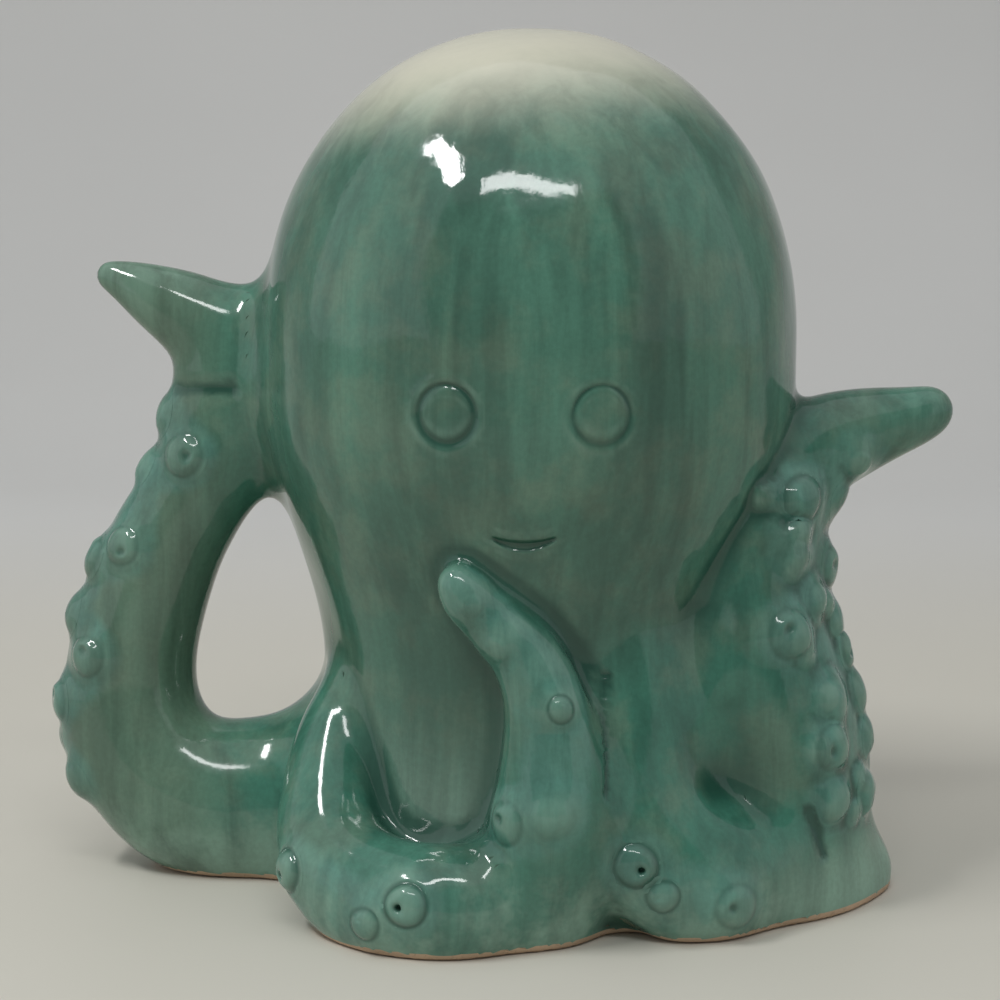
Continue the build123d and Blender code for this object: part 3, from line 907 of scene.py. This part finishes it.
class Bench:
    """What the operators share: the clay and its cut skin, worked out once."""

    clay = None
    cut = None

    @classmethod
    def formed(cls, context):
        """The clay and its skin, cut into pieces."""
        sizes = context.scene.octopus_sizes
        if cls.clay is None:
            cls.clay = Clay(sizes)
            cls.clay.dished = True
            cls.cut = cut_apart(cls.clay, sizes.clay_spacing / MM)
            cls.clay.dished = False
        return cls.clay, cls.cut


def raised_mesh(name, points, faces):
    """A mesh from points in mm and faces given as rows of point numbers."""
    mesh = bpy.data.meshes.new(name)
    mesh.from_pydata((points * MM).tolist(), [], faces)
    mesh.validate()
    return mesh


def points_of(mesh):
    """The mesh's points, in mm."""
    flat = np.empty(3 * len(mesh.vertices))
    mesh.vertices.foreach_get("co", flat)
    return flat.reshape(-1, 3) / MM


def paint(mesh, name, values):
    """Keep one number per point on the mesh, for the glaze to read."""
    layer = mesh.attributes.new(name, "FLOAT", "POINT")
    layer.data.foreach_set("value", np.asarray(values, np.float32))


def shade_skin(mesh, on_skin, outward):
    """Shade skin faces by the true slope of the clay, and the hidden joins flat."""
    mesh.shade_smooth()
    loops = np.empty(len(mesh.loops), np.int32)
    mesh.loops.foreach_get("vertex_index", loops)
    counts = np.empty(len(mesh.polygons), np.int32)
    mesh.polygons.foreach_get("loop_total", counts)
    flat = np.empty(3 * len(mesh.polygons))
    mesh.polygons.foreach_get("normal", flat)
    own = np.repeat(flat.reshape(-1, 3), counts, axis=0)
    normal = outward[loops]
    stray = ~on_skin[loops] | (dot(normal, own) < 0.2)
    normal[stray] = own[stray]
    mesh.normals_split_custom_set(normal.tolist())


def glaze_marks(clay, points):
    """Pooled glaze and painted shade in the creases, thinning on bulges, the share of arm glaze, and the
    glaze by the suckers.
    """
    bulge = clay.rounding(points)
    # Painted shade with pooled glaze: darker where the skin bends into a crease
    pool = smooth((-bulge - POOL_AND_SHADE_BEND) / BEND_SPAN)
    thin = smooth((bulge - THIN_BEND) / BEND_SPAN)
    belly = np.zeros(len(points))
    for band in clay.bands:
        near = np.all((points > band.min(0) - BAND_WIDTH) & (points < band.max(0) + BAND_WIDTH), axis=1)
        least = np.full(near.sum(), 9.0 * BAND_WIDTH**2)
        for spot in band:
            least = np.minimum(least, ((points[near] - spot) ** 2).sum(1))
        belly[near] = np.maximum(belly[near], smooth((BAND_WIDTH - np.sqrt(least)) / BAND_EDGE))
    return pool, thin, clay.arm_share(points), belly


def finish_piece(context, piece, node, material):
    """Put a piece in the scene in place of its solid."""
    piece.data.materials.append(material)
    context.scene.collection.objects.link(piece)
    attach(piece, "root")
    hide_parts(node)
    return piece


def clay_piece(context, label, node, material, worked=None):
    """One closed piece of the cut clay, as an object that stands for its solid."""
    clay, (points, on_skin, pieces) = Bench.formed(context)
    faces = pieces[label]
    used, rows = np.unique(faces, return_inverse=True)
    mesh = raised_mesh(node, points[used], rows.reshape(faces.shape).tolist())
    skin = on_skin[used]
    if worked is not None:
        skin = worked(mesh, skin)
    spots = points_of(mesh)
    outward = np.zeros(spots.shape)
    outward[skin] = unit(clay.slope(spots[skin], 0.2))
    marks = np.zeros((len(MARKS), len(spots)))
    marks[:, skin] = glaze_marks(clay, spots[skin])
    for name, values in zip(MARKS, marks):
        paint(mesh, name, values)
    shade_skin(mesh, skin, outward)
    return finish_piece(context, bpy.data.objects.new(node + "_clay", mesh), node, material)


def new_material(name):
    """A material with nodes."""
    made = bpy.data.materials.new(name)
    made.use_nodes = True
    return made


class Tree:
    """Shorthand for building the nodes of a material or a world."""

    def __init__(self, owner, shader="Principled BSDF", place="Object"):
        self.nodes = owner.node_tree.nodes
        self.links = owner.node_tree.links
        self.shader = self.nodes[shader]
        self.place = self.add("ShaderNodeTexCoord").outputs[place]

    def add(self, kind, **values):
        """A node with its plain properties set."""
        made = self.nodes.new(kind)
        for name, value in values.items():
            setattr(made, name, value)
        return made

    def feed(self, socket, value):
        """Link a socket, or set it."""
        if isinstance(value, bpy.types.NodeSocket):
            self.links.new(value, socket)
        else:
            socket.default_value = value

    def mark(self, name):
        """A number painted on the clay."""
        return self.add("ShaderNodeAttribute", attribute_name=name).outputs["Fac"]

    def noise(self, scale, detail=3.0, rough=0.5, stretch=(1.0, 1.0, 1.0), twist=0.0):
        """Noise over the piece; scale is in features per metre."""
        mapping = self.add("ShaderNodeMapping")
        self.feed(mapping.inputs["Vector"], self.place)
        mapping.inputs["Scale"].default_value = stretch
        made = self.add("ShaderNodeTexNoise")
        self.feed(made.inputs["Vector"], mapping.outputs["Vector"])
        made.inputs["Scale"].default_value = scale
        made.inputs["Detail"].default_value = detail
        made.inputs["Roughness"].default_value = rough
        made.inputs["Distortion"].default_value = twist
        return made.outputs["Fac"]

    def math(self, operation, first, second=0.0, third=0.0):
        """One sum."""
        made = self.add("ShaderNodeMath", operation=operation)
        for socket, value in zip(made.inputs, (first, second, third)):
            self.feed(socket, value)
        return made.outputs["Value"]

    def spread(self, value, low, high, start=0.0, end=1.0):
        """Map low..high to start..end, held at the ends."""
        made = self.add("ShaderNodeMapRange", interpolation_type="SMOOTHSTEP")
        ends = {"Value": value, "From Min": low, "From Max": high, "To Min": start, "To Max": end}
        for name, number in ends.items():
            self.feed(made.inputs[name], number)
        return made.outputs["Result"]

    def mix(self, share, first, second, blend="MIX"):
        """Two colours mixed."""
        made = self.add("ShaderNodeMix", data_type="RGBA", blend_type=blend)
        self.feed(made.inputs["Factor"], share)
        for socket, value in ((made.inputs[6], first), (made.inputs[7], second)):
            if not isinstance(value, bpy.types.NodeSocket):
                value = (*value, 1.0)
            self.feed(socket, value)
        return made.outputs[2]

    def place_parts(self):
        """The three parts of the place: to the right, back and up."""
        made = self.add("ShaderNodeSeparateXYZ")
        self.feed(made.inputs["Vector"], self.place)
        return made.outputs["X"], made.outputs["Y"], made.outputs["Z"]

    def bump(self, height, strength, distance):
        """Bump from a height."""
        made = self.add("ShaderNodeBump")
        made.inputs["Strength"].default_value = strength
        made.inputs["Distance"].default_value = distance
        self.feed(made.inputs["Height"], height)
        self.feed(self.shader.inputs["Normal"], made.outputs["Normal"])


def glaze(context, name):
    """The fired glaze: streaked where it ran, dark where it pooled with painted shade in the creases, pale
    where thin and on the crown.
    """
    found = bpy.data.materials.get(name)
    if found is not None:
        return found
    made = new_material(name)
    colours = context.scene.octopus_glaze
    tree = Tree(made)
    pool, thin, arm, belly = [tree.mark(mark) for mark in MARKS]
    on_mantle = tree.math("SUBTRACT", 1.0, arm)
    side, _, height = tree.place_parts()

    # How the glaze ran and clouded
    streak = tree.noise(170.0, 5.0, 0.62, (1.0, 1.0, 0.09), 0.4)
    broad = tree.noise(42.0, 3.0, 0.55, (1.0, 1.0, 0.3), 0.6)
    cloud = tree.noise(75.0, 4.0, 0.6)
    grain = tree.noise(900.0, 2.0, 0.6)
    flow = tree.math("ADD", tree.math("MULTIPLY", streak, 0.6), tree.math("MULTIPLY", broad, 0.4))

    # Greyer in clouds, paler grey on the looped arm as painted light from the upper left, bluer by the
    # suckers
    coat = tree.mix(arm, colours.body, colours.arm)
    coat = tree.mix(tree.spread(cloud, 0.42, 0.66, 0.0, 0.5), coat, colours.grey_and_painted_light)
    # Painted light: the looped arm, lit more strongly from the upper left, is mixed towards the paler grey
    coat = tree.mix(tree.spread(side, -0.055, -0.075, 0.0, 0.7), coat, colours.grey_and_painted_light)
    near_suckers = tree.math("MULTIPLY", belly, tree.spread(cloud, 0.3, 0.62, 0.95, 0.45))
    coat = tree.mix(near_suckers, coat, colours.belly)

    # Paler low on the mantle, and in patches along the foot and towards the right
    low_on_mantle = tree.math("MULTIPLY", tree.spread(height, 0.046, 0.022), on_mantle)
    patchy = tree.math("MAXIMUM", tree.spread(cloud, 0.4, 0.6, 0.2, 0.8), tree.spread(side, 0.03, 0.06))
    footed = tree.math("MULTIPLY", tree.spread(height, 0.022, 0.004), patchy)
    low = tree.math("MAXIMUM", tree.math("MULTIPLY", low_on_mantle, 0.7), footed)
    coat = tree.mix(low, coat, colours.thin)

    # Darker and paler runs down the mantle, streaks and grain
    runs = tree.spread(tree.noise(34.0, 2.0, 0.5, (1.0, 1.0, 0.07), 0.3), 0.46, 0.53, -0.1, 0.1)
    runs = tree.math("ADD", 1.0, tree.math("MULTIPLY", runs, on_mantle))
    tone = tree.math("MULTIPLY", tree.spread(flow, 0.34, 0.66, 0.76, 1.26), runs)
    tone = tree.math("MULTIPLY", tone, tree.spread(grain, 0.3, 0.7, 0.95, 1.05))
    shade = tree.add("ShaderNodeCombineColor")
    for socket in shade.inputs:
        tree.feed(socket, tone)
    coat = tree.mix(1.0, coat, shade.outputs["Color"], "MULTIPLY")

    # Pale on bulges, dark in creases from pooled glaze and painted shade
    bared = tree.math("MULTIPLY", thin, tree.spread(flow, 0.36, 0.62, 0.1, 0.6))
    coat = tree.mix(bared, coat, colours.thin)
    pooled_and_shade = tree.math("MULTIPLY", pool, tree.spread(broad, 0.3, 0.6, 0.65, 0.9))
    coat = tree.mix(pooled_and_shade, coat, colours.pooled_and_shade)

    # Cream on the crown, with a ragged edge that is lower on the left
    ragged = tree.math("MULTIPLY", tree.math("SUBTRACT", flow, 0.5), 0.008)
    tilted = tree.math("SUBTRACT", tree.math("ADD", height, ragged), tree.math("MULTIPLY", side, 0.1))
    coat = tree.mix(tree.spread(tilted, 0.153, 0.174), coat, colours.cream)

    # Gloss, and the faint peel of a thick glaze
    gloss = tree.spread(broad, 0.3, 0.7, colours.gloss * 0.7, colours.gloss * 1.5)
    tree.feed(tree.shader.inputs["Base Color"], coat)
    tree.feed(tree.shader.inputs["Roughness"], gloss)
    tree.shader.inputs["IOR"].default_value = 1.52
    peel = tree.noise(210.0, 2.0, 0.5)
    tree.bump(tree.math("ADD", peel, tree.math("MULTIPLY", streak, 0.6)), 0.13, 0.0005)
    return made


def bare_clay(context):
    """Fired clay with no glaze: sandy, scuffed and tan."""
    colours = context.scene.octopus_glaze
    made = new_material("bare_clay_fired")
    tree = Tree(made)
    grit = tree.noise(1400.0, 4.0, 0.7)
    cloud = tree.noise(60.0, 3.0)
    dark = [0.55 * c for c in colours.clay]
    pale = [min(1.0, 1.35 * c) for c in colours.clay]
    tint = tree.mix(tree.spread(cloud, 0.3, 0.7), colours.clay, pale)
    tint = tree.mix(tree.spread(grit, 0.55, 0.72, 0.0, 0.6), tint, dark)
    tree.feed(tree.shader.inputs["Base Color"], tint)
    tree.feed(tree.shader.inputs["Roughness"], tree.spread(grit, 0.3, 0.7, 0.72, 0.95))
    tree.bump(grit, 0.4, 0.0004)
    return made


class OCTOPUS_OT_mantle(bpy.types.Operator):
    """Form the mantle, press the eye rings and the smile into it, and glaze it"""

    bl_idname = "octopus.mantle"
    bl_label = "Mantle and face"

    def execute(self, context):
        clay, _ = Bench.formed(context)
        clay.face = Face(clay.mantle, context.scene.octopus_sizes)
        material = glaze(context, "mantle_glaze_fired")
        piece = clay_piece(context, "mantle", "mantle", material, self.press_face)
        spots = points_of(piece.data)
        pool = np.empty(len(spots), np.float32)
        piece.data.attributes["pool"].data.foreach_get("value", pool)
        # Painted shade with pooled glaze in the eye rings and the smile, fuller where the groove is deeper
        pool = np.maximum(pool, smooth(clay.face.depth(spots) / FULL_GROOVE))
        piece.data.attributes["pool"].data.foreach_set("value", pool.astype(np.float32))
        clay.face = None
        return {"FINISHED"}

    @staticmethod
    def press_face(mesh, skin):
        """Give the face finer points, settled into its grooves, and say which points are on the skin."""
        clay = Bench.clay
        shaped = bmesh.new()
        shaped.from_mesh(mesh)
        tag = shaped.verts.layers.int.new("skin")
        close = clay.face.near(points_of(mesh)) & skin
        for vert, flag in zip(shaped.verts, skin):
            vert[tag] = int(flag)
        shaped.verts.ensure_lookup_table()
        edges = [e for e in shaped.edges if close[e.verts[0].index] and close[e.verts[1].index]]
        made = bmesh.ops.subdivide_edges(shaped, edges=edges, cuts=3, use_grid_fill=True)
        for item in made["geom_inner"]:
            if isinstance(item, bmesh.types.BMVert):
                item[tag] = 1
        shaped.to_mesh(mesh)
        shaped.free()
        flags = np.empty(len(mesh.vertices), np.int32)
        mesh.attributes["skin"].data.foreach_get("value", flags)
        spots = points_of(mesh)
        fine = clay.face.near(spots) & (flags > 0)
        spots[fine] = clay.settle(spots[fine], 3)
        mesh.vertices.foreach_set("co", (spots * MM).ravel())
        mesh.update()
        return flags > 0


class OCTOPUS_OT_arms(bpy.types.Operator):
    """Form the eight arms and glaze them"""

    bl_idname = "octopus.arms"
    bl_label = "Arms"

    def execute(self, context):
        for name in ARMS:
            clay_piece(context, name, "arm_" + name, glaze(context, "arm_glaze_fired"))
        return {"FINISHED"}


class OCTOPUS_OT_slab(bpy.types.Operator):
    """Form the floor slab with its bare edge and its drain hole"""

    bl_idname = "octopus.slab"
    bl_label = "Floor slab"

    def execute(self, context):
        clay_piece(context, "slab", "base_slab", bare_clay(context))
        return {"FINISHED"}


class OCTOPUS_OT_suckers(bpy.types.Operator):
    """Press a sucker into each seat on the arms, and glaze it"""

    bl_idname = "octopus.suckers"
    bl_label = "Suckers"

    def execute(self, context):
        clay, _ = Bench.formed(context)
        chance = np.random.default_rng(context.scene.octopus_sizes.seed + 1)
        for name in ARMS:
            points, faces, marks = [], [], []
            for _, seat, out, radius, kind in [row for row in clay.suckers if row[0] == name]:
                shaped = self.sucker(clay, chance, seat, out, radius, SUCKER_PROFILES[kind])
                first = sum(len(part) for part in points)
                points.append(shaped[0])
                marks.append(shaped[1])
                faces += [[first + k for k in face] for face in shaped[2]]
            mesh = raised_mesh("suckers_" + name, np.concatenate(points), faces)
            self.crease(mesh)
            for mark, values in zip(MARKS, np.concatenate(marks, axis=1)):
                paint(mesh, mark, values)
            piece = bpy.data.objects.new("suckers_" + name + "_clay", mesh)
            material = glaze(context, "sucker_glaze_fired")
            finish_piece(context, piece, "suckers_" + name, material)
        return {"FINISHED"}

    @staticmethod
    def sucker(clay, chance, seat, out, radius, profile):
        """Points, marks and faces of one sucker, as a closed button whose skirt lies on the arm."""
        rows = np.array([*profile, *[(*row, 0.0) for row in SUCKER_UNDER]])
        turns = np.linspace(0.0, 2.0 * np.pi, SUCKER_SPOKES, endpoint=False)
        side = unit(np.cross(out, [0.31, 0.52, 0.79])[None])[0]
        over = np.cross(out, side)
        oval = chance.uniform(-SUCKER_OVAL, SUCKER_OVAL)
        squeeze = 1.0 + oval * np.cos(2.0 * (turns - chance.uniform(0.0, np.pi)))
        squeeze = squeeze + SUCKER_LOBES * np.cos(3.0 * turns + chance.uniform(0.0, 6.0))
        lean = 1.0 + SUCKER_LEAN * np.cos(turns - chance.uniform(0.0, 6.3))
        inner = 1.0 - smooth((rows[:, :1] - 0.1) / 0.7)
        outer = smooth((rows[:, :1] - 0.85) / 0.35)
        reach = radius * rows[:, :1] * (squeeze + (1.0 - squeeze) * outer)
        slip = chance.uniform(0.0, 6.3)
        drift = SUCKER_DRIFT * radius * inner[..., None] * (math.cos(slip) * side + math.sin(slip) * over)
        spokes = np.cos(turns)[:, None] * side + np.sin(turns)[:, None] * over
        plan = clay.settle((seat + drift + reach[..., None] * spokes).reshape(-1, 3), 3)
        rise = radius * rows[:, 1:2] * lean
        ring = plan + unit(clay.slope(plan)) * rise.reshape(-1, 1)
        marks = np.stack(glaze_marks(clay, plan))
        # Painted shade with pooled glaze in each sucker's groove and hole, from the profile
        marks[0] = np.maximum(marks[0], np.repeat(rows[:, 2], SUCKER_SPOKES))
        caps = [np.arange(SUCKER_SPOKES), len(ring) - SUCKER_SPOKES + np.arange(SUCKER_SPOKES)]
        points = np.concatenate([ring, *[ring[cap].mean(0)[None] for cap in caps]])
        marks = np.concatenate([marks, *[marks[:, cap].mean(1)[:, None] for cap in caps]], axis=1)
        here, there = np.arange(SUCKER_SPOKES), np.roll(np.arange(SUCKER_SPOKES), -1)
        starts = np.arange(len(rows) - 1)[:, None] * SUCKER_SPOKES
        low = starts + SUCKER_SPOKES
        faces = np.stack([starts + here, low + here, low + there, starts + there], -1).reshape(-1, 4).tolist()
        faces += [[len(ring), a, b] for a, b in zip(here, there)]
        faces += [[len(ring) + 1, b, a] for a, b in zip(caps[1], np.roll(caps[1], -1))]
        return points, marks, faces

    @staticmethod
    def crease(mesh):
        """Shade the buttons smooth, with a sharp edge round each skirt so that it runs into the arm."""
        mesh.shade_smooth()
        rim = SUCKER_ROWS - 1
        each = (SUCKER_ROWS + len(SUCKER_UNDER)) * SUCKER_SPOKES + 2
        ends = np.empty(2 * len(mesh.edges), np.int32)
        mesh.edges.foreach_get("vertices", ends)
        row = (ends.reshape(-1, 2) % each) // SUCKER_SPOKES
        sharp = mesh.attributes.new("sharp_edge", "BOOLEAN", "EDGE")
        sharp.data.foreach_set("value", np.all(row == rim, axis=1))


class OCTOPUS_OT_stage(bpy.types.Operator):
    """Set the pale table and backdrop, the soft lights and the camera"""

    bl_idname = "octopus.stage"
    bl_label = "Table, light and camera"

    def execute(self, context):
        scene = context.scene
        stage = scene.octopus_stage
        self.sweep(scene, stage)
        for name, (azimuth, elevation, roll, size) in LAMPS.items():
            self.light(scene, name, azimuth, elevation, roll, size, getattr(stage, name))
        scene.world = self.room(stage)
        camera = bpy.data.objects.new("photo_camera", bpy.data.cameras.new("photo_camera"))
        camera.data.lens = stage.lens
        camera.data.sensor_width = 36.0
        camera.data.clip_start = 0.01
        camera.location = stage.camera_place
        camera.rotation_euler = (math.pi / 2.0 - stage.camera_tilt, 0.0, 0.0)
        scene.collection.objects.link(camera)
        scene.camera = camera
        scene.view_settings.view_transform = "Standard"
        return {"FINISHED"}

    @staticmethod
    def sweep(scene, stage):
        """Table that runs back and curves up into the backdrop."""
        front, back, bend, top, half_width, steps = -2.5, 1.1, 0.5, 2.4, 3.0, 12
        outline = [(front, 0.0), (-1.0, 0.0), (0.0, 0.0), (back - bend, 0.0)]
        for k in range(1, steps + 1):
            turn = math.radians(90.0 * k / steps)
            outline.append((back - bend + bend * math.sin(turn), bend - bend * math.cos(turn)))
        outline.append((back, top))
        points, faces = [], []
        for y, z in outline:
            points += [(-half_width, y, z), (half_width, y, z)]
        for k in range(len(outline) - 1):
            faces.append((2 * k, 2 * k + 1, 2 * k + 3, 2 * k + 2))
        mesh = bpy.data.meshes.new("table_sweep")
        mesh.from_pydata(points, [], faces)
        mesh.shade_smooth()
        material = new_material("table_and_wall")
        tree = Tree(material)
        _, depth, _ = tree.place_parts()
        cloud = tree.noise(3.0, 3.0)
        tint = tree.mix(tree.spread(depth, 0.15, 0.55), stage.floor, stage.wall)
        tint = tree.mix(tree.spread(cloud, 0.3, 0.7, 0.0, 0.06), tint, (0.3, 0.3, 0.28))
        tree.feed(tree.shader.inputs["Base Color"], tint)
        tree.shader.inputs["Roughness"].default_value = 0.55
        mesh.materials.append(material)
        table = bpy.data.objects.new("table_sweep", mesh)
        scene.collection.objects.link(table)

    @staticmethod
    def room(stage):
        """A pale room, darker to the right, and behind the camera up to the height of its ceiling."""
        world = bpy.data.worlds.new("soft_room")
        world.use_nodes = True
        tree = Tree(world, "Background", "Generated")
        right, back, up = tree.place_parts()
        aside = tree.math("ADD", tree.math("ABSOLUTE", right), back)
        pale = tree.math("MAXIMUM", tree.spread(aside, -0.08, 0.08), tree.spread(up, 0.62, 0.76))
        strength = tree.spread(pale, 0.0, 1.0, stage.shaded, stage.ambient)
        strength = tree.math("MULTIPLY", strength, tree.spread(right, 0.1, 0.9, 1.0, 0.75))
        tree.feed(tree.shader.inputs["Strength"], strength)
        tree.shader.inputs["Color"].default_value = (0.97, 0.98, 1.0, 1.0)
        return world

    @staticmethod
    def light(scene, name, azimuth, elevation, roll, size, power):
        """A rectangular lamp a metre from the dome; the angles are in degrees."""
        lamp = bpy.data.lights.new(name, "AREA")
        lamp.shape = "RECTANGLE"
        lamp.size, lamp.size_y = size
        lamp.energy = power
        turn, lift = math.radians(azimuth), math.radians(elevation)
        way = Vector((math.cos(lift) * math.sin(turn), -math.cos(lift) * math.cos(turn), math.sin(lift)))
        made = bpy.data.objects.new(name, lamp)
        made.location = LAMP_AIM + way
        spin = Quaternion((0.0, 0.0, 1.0), math.radians(roll))
        made.rotation_euler = ((-way).to_track_quat("-Z", "Y") @ spin).to_euler()
        scene.collection.objects.link(made)


class OCTOPUS_PT_panel(bpy.types.Panel):
    """Sizes, glaze, stage and the steps that make the figurine"""

    bl_idname = "OCTOPUS_PT_panel"
    bl_label = "Ceramic octopus"
    bl_space_type = "VIEW_3D"
    bl_region_type = "UI"
    bl_category = "Octopus"

    def draw(self, context):
        for step in STEPS:
            self.layout.operator(step.bl_idname)
        for group in (context.scene.octopus_sizes, context.scene.octopus_glaze, context.scene.octopus_stage):
            box = self.layout.box()
            for name in group.bl_rna.properties.keys():
                if name not in ("rna_type", "name"):
                    box.prop(group, name)


GROUPS = (OctopusSizes, OctopusGlaze, OctopusStage)
STEPS = (OCTOPUS_OT_mantle, OCTOPUS_OT_arms, OCTOPUS_OT_slab, OCTOPUS_OT_suckers, OCTOPUS_OT_stage)


def register():
    """Register the classes and give the scene its settings."""
    for made in (*GROUPS, *STEPS, OCTOPUS_PT_panel):
        bpy.utils.register_class(made)
    bpy.types.Scene.octopus_sizes = PointerProperty(type=OctopusSizes)
    bpy.types.Scene.octopus_glaze = PointerProperty(type=OctopusGlaze)
    bpy.types.Scene.octopus_stage = PointerProperty(type=OctopusStage)


def unregister():
    """Take the settings and the classes away again."""
    del bpy.types.Scene.octopus_stage
    del bpy.types.Scene.octopus_glaze
    del bpy.types.Scene.octopus_sizes
    for made in reversed((*GROUPS, *STEPS, OCTOPUS_PT_panel)):
        bpy.utils.unregister_class(made)


def main():
    """Make the figurine and its stage."""
    register()
    bpy.ops.octopus.mantle()
    bpy.ops.octopus.arms()
    bpy.ops.octopus.slab()
    bpy.ops.octopus.suckers()
    bpy.ops.octopus.stage()


if __name__ == "__main__":
    main()
